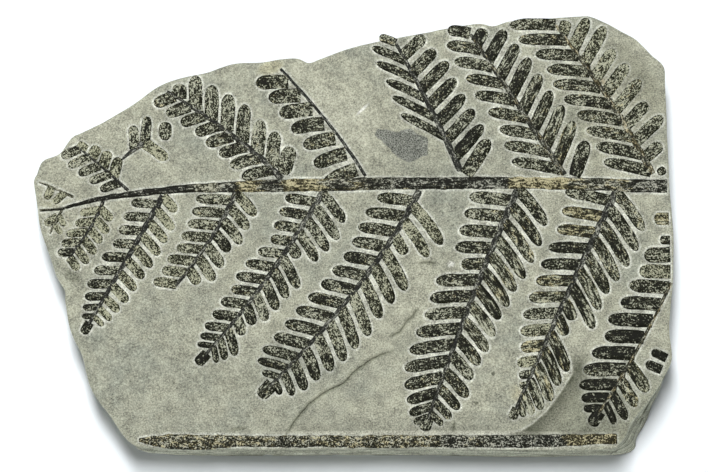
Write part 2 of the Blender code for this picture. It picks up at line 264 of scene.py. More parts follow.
def inside(points: np.ndarray, outline: np.ndarray) -> np.ndarray:
    """Tell which points lie inside a closed outline.

    Args:
        points: one row of x and y for each point.
        outline: the outline's corners.

    Returns:
        True or False for each point.
    """
    held = np.zeros(len(points), bool)
    for (ax, ay), (bx, by) in zip(outline, np.roll(outline, -1, axis=0)):
        if ay == by:
            continue
        crossed = (ay > points[:, 1]) != (by > points[:, 1])
        held ^= crossed & (points[:, 0] < ax + (points[:, 1] - ay) * (bx - ax) / (by - ay))
    return held


@dataclass(frozen=True)
class Ripple:
    """Smooth random relief that is the same each run.

    Args:
        seed: which relief.
        size: distance between its bumps, in millimetres.
    """

    seed: int
    size: float

    LATTICE = 97

    def at(self, points: np.ndarray) -> np.ndarray:
        """Read the relief.

        Args:
            points: one row of x and y for each point, in millimetres.

        Returns:
            A height between about -1 and 1 for each point.
        """
        heights = np.random.default_rng(self.seed).uniform(-1, 1, (self.LATTICE, self.LATTICE))
        spot = points[:, :2] / self.size
        cell = np.floor(spot).astype(int)
        share = spot - cell
        share = share * share * (3 - 2 * share)
        x0, y0 = (cell % self.LATTICE).T
        x1, y1 = ((cell + 1) % self.LATTICE).T
        low = heights[x0, y0] * (1 - share[:, 0]) + heights[x1, y0] * share[:, 0]
        high = heights[x0, y1] * (1 - share[:, 0]) + heights[x1, y1] * share[:, 0]
        return low * (1 - share[:, 1]) + high * share[:, 1]


@dataclass(frozen=True)
class Look:
    """How the film of a pinnule is preserved.

    Args:
        shade: 0 for black coal, 1 for a film so thin that the stone shows through.
        olive: how green and brown the film is.
        ochre: how much iron-stained clay lies on it in patches.
        streak: how far its grain runs lengthwise.
        tilt: how much blacker its right side is than its left: painted sheen on its left side and painted shade on its
            right.
    """

    shade: float
    olive: float
    ochre: float
    streak: float
    tilt: float = 0.0

    def blend(self, other: Look, share: float) -> Look:
        """Return the look a share of the way to another."""
        return Look(*[a + (b - a) * share for a, b in zip(astuple(self), astuple(other))])


class Kept(Enum):
    """The looks that the frond is kept in, from its coaly right side to its faint left end."""

    COALY = Look(0.06, 0.10, 0.00, 0.20)
    DARK = Look(0.32, 0.15, 0.05, 0.25)
    SPECKLED = Look(0.45, 0.30, 0.12, 0.14)
    GREY = Look(0.60, 0.30, 0.06, 0.12)
    RIBBED = Look(0.54, 0.30, 0.16, 0.66)
    TANNED = Look(0.58, 0.50, 0.34, 0.50)
    OLIVE = Look(0.68, 0.80, 0.06, 0.10)
    FAINT = Look(0.88, 1.00, 0.00, 0.08)
    SILVERED = Look(0.40, 0.20, 0.00, 0.45, 0.06)
    CHAR = Look(0.38, 0.12, 0.04, 0.30)
    WORN = Look(0.50, 0.40, 0.20, 0.30)
    CLAYED = Look(0.50, 0.60, 0.30, 0.30, 0.10)
    BARED = Look(0.79, 0.60, 1.10, 0.30, 0.10)
    CLUMPED = Look(0.36, 0.70, 0.62, 0.20)
    SANDED = Look(0.73, 0.60, 0.74, 0.30, 0.10)


@dataclass(frozen=True)
class Row:
    """A row of pinnules down one side of a pinna.

    Args:
        first: distance of the first pinnule from the pinna's foot.
        last: distance of the last pinnule from the pinna's foot.
        headings: the directions in which its pinnules point, in degrees, at places spread evenly down the row.
        width: width of a full pinnule.
        lengths: length of each pinnule in turn.
        bend: how far a pinnule turns between its foot and its tip, in degrees.
        kept: how the row is preserved, at places spread evenly down it.
        gap: how far the pinnules' feet stand off the middle of the rachis.
        fade: how much fainter a pinnule's tip is than its foot.
    """

    first: float
    last: float
    headings: tuple[float, ...]
    width: float
    lengths: tuple[float, ...]
    bend: float = 0.0
    kept: tuple[Kept, ...] = (Kept.SPECKLED,)
    gap: float = 0.0
    fade: float = 0.16

    def way(self, share: float) -> float:
        """Return the heading of the pinnule a share of the way down the row."""
        return float(np.interp(share, np.linspace(0, 1, len(self.headings)), self.headings))

    def look(self, share: float) -> Look:
        """Return how the pinnule a share of the way down the row is preserved."""
        place = share * (len(self.kept) - 1)
        step = min(int(place), max(len(self.kept) - 2, 0))
        return self.kept[step].value.blend(self.kept[min(step + 1, len(self.kept) - 1)].value, place - step)

    def widths(self, closing: bool) -> list[float]:
        """Return the width of each pinnule; the last three narrow where the pinna closes."""
        count = len(self.lengths)
        if not closing:
            return [self.width] * count
        return [self.width * min(1.0, 0.6 + 0.14 * (count - 1 - i)) for i in range(count)]

    def stations(self, closing: bool) -> list[float]:
        """Return each pinnule's distance from the pinna's foot, spaced by its neighbours' widths."""
        widths = self.widths(closing)
        places = np.cumsum([0.0] + [(a + b) / 2 for a, b in zip(widths, widths[1:])])
        span = max(float(places[-1]), 1.0)
        return [self.first + (self.last - self.first) * float(place) / span for place in places]


def heading(degrees: float | np.ndarray) -> np.ndarray:
    """Return the unit vector of a heading in degrees, anticlockwise from +X."""
    turn = np.radians(degrees)
    return np.stack((np.cos(turn), np.sin(turn)), axis=-1)


def left_of(ways: np.ndarray) -> np.ndarray:
    """Return the unit vectors on the left of some directions."""
    return np.stack((-ways[..., 1], ways[..., 0]), axis=-1)


@dataclass(frozen=True)
class Trail:
    """A smooth line through a foot, a middle and a tip, read by distance from the foot."""

    path: tuple[Point, Point, Point]

    SAMPLES = 64

    def points(self) -> np.ndarray:
        """Return points evenly spread along the curve's own measure."""
        foot, middle, tip = (np.array(point) for point in self.path)
        pull = middle * 2 - (foot + tip) / 2
        t = np.linspace(0.0, 1.0, self.SAMPLES)[:, None]
        return foot * (1 - t) ** 2 + pull * 2 * t * (1 - t) + tip * t ** 2

    def distances(self) -> np.ndarray:
        """Return how far each of the points lies along the line."""
        steps = np.diff(self.points(), axis=0)
        return np.concatenate(([0.0], np.cumsum(np.hypot(*steps.T))))

    def length(self) -> float:
        """Return the line's length."""
        return float(self.distances()[-1])

    def at(self, distance: float) -> np.ndarray:
        """Return the point at a distance, which runs straight on past either end."""
        points, walked = self.points(), self.distances()
        held = min(max(distance, 0.0), float(walked[-1]))
        spot = np.array([np.interp(held, walked, points[:, axis]) for axis in (0, 1)])
        return spot + self.way(held) * (distance - held)

    def way(self, distance: float) -> np.ndarray:
        """Return the unit direction of travel at a distance from the foot."""
        points, walked = self.points(), self.distances()
        step = min(max(int(np.searchsorted(walked, distance)), 1), self.SAMPLES - 1)
        run = points[step] - points[step - 1]
        return run / np.hypot(*run)


@dataclass(frozen=True)
class Pinnule:
    """One pinnule: a strap with a rounded tip, pressed flat.

    Args:
        foot: where it grows from.
        heading: the direction in which it points, in degrees.
        length: from foot to tip.
        width: at its widest.
        bend: how far it turns between foot and tip.
        look: how it is preserved.
        foot_width: width of its foot as a share of its widest, less than 1 where it was shed.
        fade: how much fainter its tip is than its foot.
    """

    foot: Point
    heading: float
    length: float
    width: float
    bend: float
    look: Look
    foot_width: float = 1.0
    fade: float = 0.16

    WIDEST = 0.66
    BLUNT = 0.985  # a tip drawn to a full point would be 1
    WANDER = 0.07  # how far its margins wander, as a share of its half width

    @classmethod
    def half_width(cls, along: np.ndarray) -> np.ndarray:
        """Return the share of its half width that it has at shares of its length."""
        closing = np.clip((along - cls.WIDEST) / (1 - cls.WIDEST), 0.0, 1.0)
        return np.sqrt(1 - cls.BLUNT * closing ** 2.3)

    def spread(self, along: np.ndarray, across: np.ndarray) -> np.ndarray:
        """Lay places in the pinnule's own measure on the slab.

        Args:
            along: shares of its length.
            across: shares of its half width, positive on its left.

        Returns:
            One row of x and y for each place.
        """
        middle = heading(self.heading - self.bend / 2 * (1 - along)) * (self.length * along)[:, None]
        sideways = left_of(heading(self.heading - self.bend / 2 + self.bend * along))
        ragged = Ripple(51, 1.9).at(np.array(self.foot) * 3 + np.column_stack((along * self.length, across * 2)))
        opening = 1 - (1 - self.foot_width ** 2) * np.clip(1 - along * self.length / self.width * 2, 0, 1) ** 2
        half = across * (1 + self.WANDER * ragged) * np.sqrt(opening) * self.width / 2
        return np.array(self.foot) + middle + sideways * half[:, None]

    def outline(self) -> np.ndarray:
        """Return the pinnule's closed outline."""
        along = 1 - np.linspace(1.0, 0.0, 18) ** 1.5
        half = self.half_width(along)
        return np.concatenate((self.spread(along, half), self.spread(along[::-1], -half[::-1])))


class PinnuleMould:
    """The pinnule modelled once: a pillowed strap with a grooved midrib, ready to be pressed into place."""

    ALONG = 9
    ACROSS = 6
    ACROSS_STATIONS = (-1.0, -0.82, -0.22, 0.0, 0.22, 0.82, 1.0)
    GROOVE = 0.3  # depth of the midrib's groove, as a share of the pinnule's height
    SUNK = 0.1  # how far the margin lies below the stone's face, as a share of the height

    def __init__(self) -> None:
        self.piece = blank("pinnule_mould", self.ALONG, self.ACROSS)
        raw = corners(self.piece)
        self.top = raw[:, 2] > -0.5
        self.along = 1 - (1 - np.round(raw[:, 0] * self.ALONG) / self.ALONG) ** 1.5
        column = np.round((raw[:, 1] + 1) / 2 * self.ACROSS).astype(int)
        self.column = np.array(self.ACROSS_STATIONS)[np.clip(column, 0, self.ACROSS)]
        self.across = self.column * Pinnule.half_width(self.along)
        crown = 1 - np.abs(self.column) ** 3
        ends = np.sqrt(np.clip(1 - np.clip((self.along - 0.84) / 0.16, 0, 1) ** 2, 0, 1))
        groove = self.GROOVE * (self.column == 0) * (1 - smooth(0.6, 0.85, self.along))
        self.height = (crown - groove) * ends - self.SUNK * (1 - crown * ends)

    def press(self, pinnule: Pinnule, thickness: float, bedding: Bedding) -> bpy.types.Object:
        """Press a copy of the mould into the slab's face.

        Args:
            pinnule: where it lies and what it looks like.
            thickness: how far it stands above the stone.
            bedding: the face it lies on.

        Returns:
            The copy, with its own mesh.
        """
        made = self.piece.copy()
        made.data = self.piece.data.copy()
        bpy.context.scene.collection.objects.link(made)
        flat = pinnule.spread(self.along, self.across)
        height = np.where(self.top, bedding.height(flat) + self.height * thickness, bedding.FLOOR)
        place_corners(made, np.column_stack((flat, height)))
        margin, _ = line_distance(flat, pinnule.outline(), True)
        note(made, "along", self.along * pinnule.length)
        note(made, "across", self.across * pinnule.width / 2)
        note(made, "margin", np.abs(margin))
        note(made, "pick", pinnule.foot[0] * 3.7 + pinnule.foot[1] * 5.3)
        for name in ("olive", "ochre", "streak", "tilt"):
            note(made, name, getattr(pinnule.look, name))
        note(made, "shade", pinnule.look.shade + (self.along - 0.5) * pinnule.fade)
        return made

    def discard(self) -> None:
        """Remove the mould once every copy is made."""
        bpy.data.objects.remove(self.piece)


@dataclass(frozen=True)
class Stem:
    """A stem or a rachis: a ribbed band of film along a line.

    Args:
        name: the object's name.
        knots: x, y and width along its middle line.
        thickness: how far it stands above the stone.
        looks: how it is preserved along its length, as distances from its foot and looks.
        ragged: how far its edges wander.
        streak: how far its grain runs lengthwise.
    """

    name: str
    knots: tuple[tuple[float, float, float], ...]
    thickness: float
    looks: tuple[tuple[float, Look], ...]
    ragged: float = 0.12
    streak: float = 0.5

    STEP = 0.9
    ACROSS = 8
    RIBS = 0.16  # depth of its lengthwise ribs, as a share of its thickness

    def line(self) -> tuple[np.ndarray, np.ndarray]:
        """Return a close row of x, y and width along the stem, and the distance walked at each."""
        knots = np.array(self.knots)
        walked = np.concatenate(([0.0], np.cumsum(np.hypot(*np.diff(knots[:, :2], axis=0).T))))
        places = np.linspace(0.0, walked[-1], max(4, round(walked[-1] / self.STEP)))
        smoothed = np.column_stack([self.curve(walked, knots[:, axis], places) for axis in range(3)])
        return smoothed, places

    @staticmethod
    def curve(walked: np.ndarray, values: np.ndarray, places: np.ndarray) -> np.ndarray:
        """Read a smooth curve through values at distances.

        Args:
            walked: distances of the known values.
            values: the known values.
            places: distances to read at.

        Returns:
            The value at each place.
        """
        slope = np.gradient(values, walked)
        step = np.clip(np.searchsorted(walked, places, side="right") - 1, 0, len(walked) - 2)
        span = walked[step + 1] - walked[step]
        t = (places - walked[step]) / span
        start = (2 * t ** 3 - 3 * t ** 2 + 1) * values[step] + (t ** 3 - 2 * t ** 2 + t) * span * slope[step]
        end = (3 * t ** 2 - 2 * t ** 3) * values[step + 1] + (t ** 3 - t ** 2) * span * slope[step + 1]
        return start + end

    def ways(self) -> np.ndarray:
        """Return the unit direction of travel at each place along the stem."""
        middle, _ = self.line()
        run = np.gradient(middle[:, :2], axis=0)
        return run / np.hypot(*run.T)[:, None]

    def edges(self) -> tuple[np.ndarray, np.ndarray]:
        """Return the stem's left and right edges, from its foot to its end."""
        middle, _ = self.line()
        sideways = left_of(self.ways())
        edges = []
        for side, seed in ((1, 11), (-1, 12)):
            wander = Ripple(seed, 2.6).at(middle) * self.ragged + Ripple(seed + 5, 0.9).at(middle) * self.ragged / 2
            edges.append(middle[:, :2] + sideways * ((middle[:, 2] / 2 + wander) * side)[:, None])
        return edges[0], edges[1]

    def outline(self) -> np.ndarray:
        """Return the stem's closed outline."""
        left, right = self.edges()
        return np.concatenate((left, right[::-1]))

    def press(self, bedding: Bedding) -> bpy.types.Object:
        """Model the stem on the slab's face.

        Args:
            bedding: the face it lies on.

        Returns:
            The stem.
        """
        left, right = self.edges()
        middle, walked = self.line()
        rows = len(middle) - 1
        made = blank(self.name, rows, self.ACROSS)
        raw = corners(made)
        row = np.clip(np.round(raw[:, 0] * rows).astype(int), 0, rows)
        across = raw[:, 1]
        flat = left[row] * ((1 + across) / 2)[:, None] + right[row] * ((1 - across) / 2)[:, None]
        crown = 1 - np.abs(across) ** 6
        ends = smooth(0.0, 0.6, np.minimum(walked[row], walked[-1] - walked[row]) + 0.15)
        ribs = self.RIBS * (Ripple(31, 1.0).at(np.column_stack((walked[row] / 7, across * 2.6))) - 0.3)
        height = self.thickness * ((crown * (1 + ribs)) * ends - 0.12 * (1 - crown * ends))
        top = np.where(raw[:, 2] > -0.5, bedding.height(flat) + height, bedding.FLOOR)
        place_corners(made, np.column_stack((flat, top)))
        half = middle[row, 2] / 2
        note(made, "along", walked[row])
        note(made, "across", across * half)
        note(made, "margin", (1 - np.abs(across)) * half)
        note(made, "pick", self.knots[0][0] * 3.7)
        stations = [distance for distance, _ in self.looks]
        note(made, "streak", self.streak)
        for name in ("shade", "olive", "ochre", "tilt"):
            note(made, name, np.interp(walked[row], stations, [getattr(look, name) for _, look in self.looks]))
        return made


@dataclass(frozen=True)
class Pinna:
    """One pinna of the frond: its rachis and up to two rows of pinnules.

    Args:
        name: the CAD node it stands for.
        path: foot, middle and tip of its rachis.
        stem: width of its rachis at the foot and at the tip.
        rachis_kept: how its rachis is preserved.
        left: the row on the left of a walker from foot to tip.
        right: the row on the walker's right.
        bud: radius of the rounded leaflet that ends it, or 0 where the tip is broken off.
    """

    name: str
    path: tuple[Point, Point, Point]
    stem: tuple[float, float]
    rachis_kept: Kept
    left: Row | None = None
    right: Row | None = None
    bud: float = 0.0

    THICKNESS = 0.32
    RACHIS_THICKNESS = 0.3
    FLAT = 1.12  # the rachis is pressed this much wider than it grew
    JOINED = 1.2  # how far the rachis runs on towards the stem that bore it
    WANDER = 0.06  # how far a pinnule's shade strays from its row's

    def pinnules(self) -> list[Pinnule]:
        """Return every pinnule of the pinna, the leaflet at its tip among them."""
        trail = Trail(self.path)
        chance = np.random.default_rng(sum(map(ord, self.name)))
        made = []
        for row in (self.left, self.right):
            if row is None:
                continue
            closing = self.bud > 0
            places = zip(row.stations(closing), row.widths(closing), row.lengths)
            for i, (station, width, length) in enumerate(places):
                share = i / max(len(row.lengths) - 1, 1)
                look = row.look(share)
                shade = max(look.shade + chance.normal() * self.WANDER, 0.0)
                look = Look(shade, look.olive, look.ochre * chance.uniform(0.4, 1.6), look.streak)
                foot = trail.at(station) + heading(row.way(share)) * row.gap
                made.append(Pinnule(tuple(foot), row.way(share), length, width, row.bend, look, fade=row.fade))
        if self.bud:
            made.append(self.leaflet(trail, made[-1].look))
        return made

    def leaflet(self, trail: Trail, look: Look) -> Pinnule:
        """Return the rounded leaflet at the pinna's tip."""
        ahead = trail.way(trail.length())
        foot = trail.at(trail.length() - self.bud * 0.9)
        way = math.degrees(math.atan2(ahead[1], ahead[0]))
        return Pinnule(tuple(foot), way, self.bud * 2.6, self.bud * 2, 0.0, look)

    def rachis(self) -> Stem:
        """Return the pinna's rachis."""
        trail = Trail(self.path)
        length = trail.length()
        knots = []
        for distance in np.linspace(-self.JOINED, length, 7):
            x, y = trail.at(float(distance))
            width = (self.stem[0] + (self.stem[1] - self.stem[0]) * float(distance) / length) * self.FLAT
            knots.append((float(x), float(y), width))
        looks = ((0.0, self.rachis_kept.value), (length, self.rachis_kept.value))
        return Stem(self.name + "_rachis", tuple(knots), self.RACHIS_THICKNESS, looks, 0.08)

    def build(self, mould: PinnuleMould, bedding: Bedding) -> bpy.types.Object:
        """Model the pinna and let it stand for its CAD node.

        Args:
            mould: the pinnule to press.
            bedding: the face it lies on.

        Returns:
            The pinna as one piece.
        """
        rachis = self.rachis().press(bedding)
        rachis.data.materials.append(Film.CARBON.material())
        rachis.data.materials.append(Film.RACHIS.material())
        for face in rachis.data.polygons:
            face.material_index = 1
        leaves = [mould.press(pinnule, self.THICKNESS, bedding) for pinnule in self.pinnules()]
        for leaf in leaves:
            leaf.data.materials.append(Film.CARBON.material())
        made = join("visual_" + self.name, [rachis, *leaves])
        shade(made, 60)
        claim(made, self.name)
        return made

    def outlines(self) -> list[np.ndarray]:
        """Return the outlines of all that the pinna covers."""
        return [self.rachis().outline(), *[pinnule.outline() for pinnule in self.pinnules()]]


@dataclass(frozen=True)
class LoosePinnule:
    """A pinnule that lies by itself.

    Args:
        name: the CAD node it stands for.
        pinnule: where it lies and what it looks like.
    """

    name: str
    pinnule: Pinnule

    def build(self, mould: PinnuleMould, bedding: Bedding) -> bpy.types.Object:
        """Model the pinnule and let it stand for its CAD node.

        Args:
            mould: the pinnule to press.
            bedding: the face it lies on.

        Returns:
            The pinnule.
        """
        made = mould.press(self.pinnule, Pinna.THICKNESS, bedding)
        made.name = "visual_" + self.name
        made.data.name = made.name
        made.data.materials.append(Film.CARBON.material())
        shade(made, 60)
        claim(made, self.name)
        return made


def claim(piece: bpy.types.Object, node: str) -> None:
    """Let a piece ride on the plate and stand for a CAD node, which is hidden.

    Args:
        piece: the finished piece.
        node: the CAD node's name.
    """
    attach(piece, "root")
    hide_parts(node)


@dataclass(frozen=True)
class Ledge:
    """A low step in the split face, where one layer of the shale ends.

    Args:
        line: its edge; the stone on the left of a walker along it lies lower.
        drop: how far it steps down.
        riser: the width over which it drops.
        reach: how far the lower ground goes before it has risen to the face again.
        shade_painted: whether painted shade darkens the ground along its foot, with a painted highlight on its edge
            above.
    """

    line: tuple[Point, ...]
    drop: float
    riser: float
    reach: float
    shade_painted: bool = False

    END = 0.15  # the share of the line over which the step fades in and out

    def depth(self, points: np.ndarray) -> np.ndarray:
        """Return how far the face lies below its own level at some points."""
        side, walked = line_distance(points, np.array(self.line), False)
        step = smooth(-self.riser / 2, self.riser / 2, side) * (1 - smooth(0.0, self.reach, side))
        return self.drop * step * self.held(walked)

    def held(self, walked: np.ndarray) -> np.ndarray:
        """Return how much of the step is left at shares of its line: it dies out at both ends."""
        return smooth(0.0, self.END, np.minimum(walked, 1 - walked))


@dataclass(frozen=True)
class Crack:
    """A hairline crack in the face.

    Args:
        line: its course.
        width: how wide it gapes.
        depth: how deep it shows.
    """

    line: tuple[Point, ...]
    width: float
    depth: float

    STEP = 0.45
    WANDER = 0.22  # how far it strays from its course

    def course(self) -> np.ndarray:
        """Return a close row of points along the crack."""
        knots = np.array(self.line)
        walked = np.concatenate(([0.0], np.cumsum(np.hypot(*np.diff(knots, axis=0).T))))
        places = np.linspace(0.0, walked[-1], max(3, round(walked[-1] / self.STEP)))
        straight = np.column_stack([np.interp(places, walked, knots[:, axis]) for axis in (0, 1)])
        return straight + np.column_stack([Ripple(seed, 1.7).at(straight) for seed in (61, 62)]) * self.WANDER

    def distance(self, points: np.ndarray) -> np.ndarray:
        """Return each point's distance from the crack, growing towards its pinched ends."""
        gap, walked = line_distance(points, self.course(), False)
        return np.abs(gap) + self.width * (1 - smooth(0.0, 0.1, np.minimum(walked, 1 - walked)))


@dataclass(frozen=True)
class Swell:
    """Broad relief of the split face.

    Args:
        seed: which relief.
        size: distance between its bumps.
        height: their height.
    """

    seed: int
    size: float
    height: float


class Bedding:
    """The split face: swells, fine relief and low ledges, shared by the stone and the plant on it."""

    TOP = 18.12
    FLOOR = 17.0  # the underside of everything pressed into the face
    SWELLS = (Swell(1, 38.0, 0.22), Swell(2, 11.0, 0.07), Swell(3, 3.6, 0.03))

    def __init__(self, ledges: tuple[Ledge, ...]) -> None:
        self.ledges = ledges

    def height(self, points: np.ndarray) -> np.ndarray:
        """Return the height of the face at some points."""
        level = np.full(len(points), self.TOP)
        for swell in self.SWELLS:
            level += Ripple(swell.seed, swell.size).at(points) * swell.height
        for ledge in self.ledges:
            level -= ledge.depth(points)
        return level


def closed_curve(ring: np.ndarray, steps: list[int]) -> np.ndarray:
    """Run a smooth closed curve through a ring of points.

    Args:
        ring: the points, in order.
        steps: how many places to read after each point.

    Returns:
        The places along the curve.
    """
    made = []
    for i, count in enumerate(steps):
        before, here, ahead, beyond = (ring[(i + k) % len(ring)] for k in (-1, 0, 1, 2))
        t = (np.arange(count) / count)[:, None]
        made.append(0.5 * (2 * here + (ahead - before) * t + (2 * before - 5 * here + 4 * ahead - beyond) * t ** 2
                           + (3 * here - before - 3 * ahead + beyond) * t ** 3))
    return np.concatenate(made)


SCALE_PATCH = (
    (6.6, 30.6), (7.6, 32.2), (10.0, 32.4), (13.0, 31.4), (18.0, 32.2), (23.2, 29.6), (23.2, 24.2), (21.0, 23.6),
    (19.2, 22.2), (17.3, 21.9), (14.0, 23.6), (10.8, 26.4), (9.2, 28.8),
)


class Slab:
    """The block of shale: its split face, its broken side of thin layers and its flat underside.

    It keeps the outline and the slope of the side of the CAD solid.
    """

    NODE = "shale_slab"
    RIM_STEP = 0.85
    GRID = 0.66  # spacing of the face's points
    LAYER = (0.7, 1.9)  # thinnest and thickest layer seen on the side
    BEVEL = 0.06  # each layer's edges are worn back from its neighbours' by this much in height
    ROUND = 0.9  # width of the worn rim
    ROUND_DROP = 0.4
    SUNK = 0.25  # how far the stone lies back under the plant
    FRONT = -66.0  # the side is split straighter below this line
    FOOT = 0.85  # its foot stands this far out there
    CRACK_LANES = (-0.7, -0.24, 0.0, 0.24, 0.7)

    def __init__(self, bedding: Bedding, cracks: tuple[Crack, ...], plants: list[np.ndarray]) -> None:
        self.bedding = bedding
        self.cracks = cracks
        self.plants = plants
        self.levels, self.rings = self.read_rings()

    def read_rings(self) -> tuple[np.ndarray, np.ndarray]:
        """Read the rings of the CAD solid's side.

        Returns:
            The height of each ring from the underside up, and each ring's smooth curve.
        """
        points = np.unique(np.round(corners(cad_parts[self.NODE]) / MM, 3), axis=0)
        levels = np.unique(points[:, 2])
        rings = []
        for level in levels:
            ring = points[points[:, 2] == level]
            rings.append(ring[np.argsort(np.arctan2(ring[:, 1], ring[:, 0]))][:, :2])
        top = rings[-1]
        runs = np.hypot(*(np.roll(top, -1, axis=0) - top).T)
        steps = [max(1, round(run / self.RIM_STEP)) for run in runs]
        return levels, np.array([closed_curve(ring, steps) for ring in rings])

    def ring(self, height: float, layer: int) -> np.ndarray:
        """Return the points round the side at a height.

        Args:
            height: the height.
            layer: which layer of the shale it is in, as each is broken in its own way.

        Returns:
            One row of x and y for each point.
        """
        i = int(np.clip(np.searchsorted(self.levels, height) - 1, 0, len(self.levels) - 2))
        share = (height - self.levels[i]) / (self.levels[i + 1] - self.levels[i])
        flat = self.rings[i] * (1 - share) + self.rings[i + 1] * share
        run = np.roll(flat, -1, axis=0) - np.roll(flat, 1, axis=0)
        out = -left_of(run / np.hypot(*run.T)[:, None])
        broken = Ripple(100 + layer, 9.0).at(flat) * 0.32 + Ripple(200 + layer, 2.4).at(flat) * 0.16
        chips = -0.7 * smooth(0.62, 0.95, Ripple(300 + layer, 4.5).at(flat))
        depth = (broken + chips) * np.where(flat[:, 1] < self.FRONT, 0.45, 1.0)
        if layer == 0:
            depth = 0.15 + broken * 0.3
        depth = depth + self.FOOT * smooth(14.0, 2.0, height) * smooth(self.FRONT + 2, self.FRONT - 1, flat[:, 1])
        return flat + out * depth[:, None]

    def side(self) -> list[np.ndarray]:
        """Return the rings of the broken side from the rim down to the underside."""
        chance = np.random.default_rng(7)
        rim = self.ring(float(self.levels[-2]), 0)
        level = self.bedding.height(rim) - self.ROUND_DROP
        rings = [np.column_stack((rim, level))]
        top, layer = float(self.levels[-2]) - 0.4, 0
        while top > 0.0:
            foot = max(top - chance.uniform(*self.LAYER), 0.0)
            foot = 0.0 if foot < self.LAYER[0] * 0.6 else foot
            for height in (top - self.BEVEL if layer else top, foot + self.BEVEL if foot else foot):
                flat = self.ring(height, layer)
                rings.append(np.column_stack((flat, np.full(len(flat), height))))
            top, layer = foot, layer + 1
        return rings

    def face_points(self, rim: np.ndarray) -> np.ndarray:
        """Return the points of the face within the rim: an even grid, and lanes along the cracks."""
        low, high = rim.min(0), rim.max(0)
        rows = np.arange(low[1], high[1], self.GRID * math.sqrt(0.75))
        columns = np.arange(low[0], high[0], self.GRID)
        grid = np.array([(x + self.GRID / 2 * (i % 2), y) for i, y in enumerate(rows) for x in columns])
        grid += np.random.default_rng(8).uniform(-0.08, 0.08, grid.shape)
        gap, _ = self.near(grid, rim, True, 4.0)
        grid = grid[inside(grid, rim) & (gap > self.GRID * 0.6)]
        lanes = []
        for crack in self.cracks:
            course = crack.course()
            run = np.gradient(course, axis=0)
            sideways = left_of(run / np.hypot(*run.T)[:, None])
            lanes += [course + sideways * offset for offset in self.CRACK_LANES]
            gap, _ = self.near(grid, course, False, 4.0)
            grid = grid[gap > 0.95]
        return np.concatenate([grid, *lanes])

    @staticmethod
    def near(points: np.ndarray, line: np.ndarray, closed: bool, reach: float) -> tuple[np.ndarray, np.ndarray]:
        """Measure only the points near a line.

        Args:
            points: one row of x and y for each point.
            line: the line's corners.
            closed: whether its end joins its start.
            reach: distances beyond this are all given as this.

        Returns:
            Each point's distance from the line, and True for each point within a closed line.
        """
        gap = np.full(len(points), reach)
        held = np.zeros(len(points), bool)
        runs = len(line) if closed else len(line) - 1
        block = 24
        for start in range(0, runs, block):
            piece = line[np.arange(start, min(start + block, runs) + 1) % len(line)]
            low, high = piece.min(0) - reach, piece.max(0) + reach
            chosen = np.flatnonzero(((points > low) & (points < high)).all(1))
            if len(chosen):
                found, _ = line_distance(points[chosen], piece, False)
                gap[chosen] = np.minimum(gap[chosen], np.abs(found))
        if closed:
            chosen = np.flatnonzero(((points > line.min(0)) & (points < line.max(0))).all(1))
            held[chosen] = inside(points[chosen], line)
        return gap, held

    def plant_distance(self, points: np.ndarray) -> np.ndarray:
        """Return each point's distance from the nearest plant, negative under it."""
        found = np.full(len(points), 3.0)
        for outline in self.plants:
            gap, held = self.near(points, outline, True, 3.0)
            found = np.minimum(found, np.where(held, -gap, gap))
        return found

    def build(self, stone: bpy.types.Material) -> bpy.types.Object:
        """Model the slab and let it stand for its CAD node.

        Args:
            stone: its finish.

        Returns:
            The slab.
        """
        rings = self.side()
        count = len(rings[0])
        rim = rings[0][:, :2]
        flat = np.concatenate((rim, self.face_points(rim)))
        border = [(i, (i + 1) % count) for i in range(count)]
        spots, _, faces, _, _, _ = delaunay_2d_cdt([Vector(p) for p in flat.tolist()], border, [], 1, 1e-5)
        if len(spots) != len(flat):
            LOG.warning("the face has %d points where %d were laid", len(spots), len(flat))
        flat = np.array([tuple(spot) for spot in spots])
        gap, _ = self.near(flat, rim, True, self.ROUND + 1)
        plant = self.plant_distance(flat)
        cracked = np.full(len(flat), 3.0)
        level = self.bedding.height(flat) - self.ROUND_DROP * np.clip(1 - gap / self.ROUND, 0, 1) ** 2
        level -= self.SUNK * smooth(0.3, 0.8, -plant)
        for crack in self.cracks:
            away = crack.distance(flat)
            level -= crack.depth * (1 - smooth(0.0, crack.width, away))
            cracked = np.minimum(cracked, away)
        level[:count] = rings[0][:, 2]
        places = [np.column_stack((flat, level)), *rings[1:]]
        starts = np.cumsum([0] + [len(part) for part in places[:-1]])
        starts[0] = 0
        turned = [tuple(face) if self.turns_left(flat, face) else tuple(reversed(face)) for face in faces]
        for upper, lower in zip([0, *starts[1:-1]], starts[1:]):
            for i in range(count):
                j = (i + 1) % count
                turned.append((upper + j, upper + i, lower + i, lower + j))
        turned.append(tuple(reversed(range(int(starts[-1]), int(starts[-1]) + count))))
        mesh = bpy.data.meshes.new("visual_" + self.NODE)
        mesh.from_pydata((np.concatenate(places) * MM).tolist(), [], turned)
        made = bpy.data.objects.new(mesh.name, mesh)
        bpy.context.scene.collection.objects.link(made)
        below = np.full(len(mesh.vertices) - len(flat), 3.0)
        note(made, "plant", np.concatenate((plant, below)))
        note(made, "crack", np.concatenate((cracked, below)))
        gap_to_scale, held = self.near(flat, np.array(SCALE_PATCH), True, 3.0)
        note(made, "scale", np.concatenate((np.where(held, gap_to_scale, -gap_to_scale), -below)))
        note(made, "side", np.concatenate((0.5 * (gap < 0.01), below > 0)))
        # A step with painted shade notes its distance from its edge, for the painted shadow at its foot and the
        # painted highlight on its edge.
        for ledge in self.bedding.ledges:
            if ledge.shade_painted:
                side, walked = line_distance(flat, np.array(ledge.line), False)
                note(made, "ledge", np.concatenate((side, 9 * below)))
                note(made, "ledge_held", np.concatenate((ledge.held(walked), 0 * below)))
        mesh.materials.append(stone)
        shade(made, 35)
        claim(made, self.NODE)
        return made

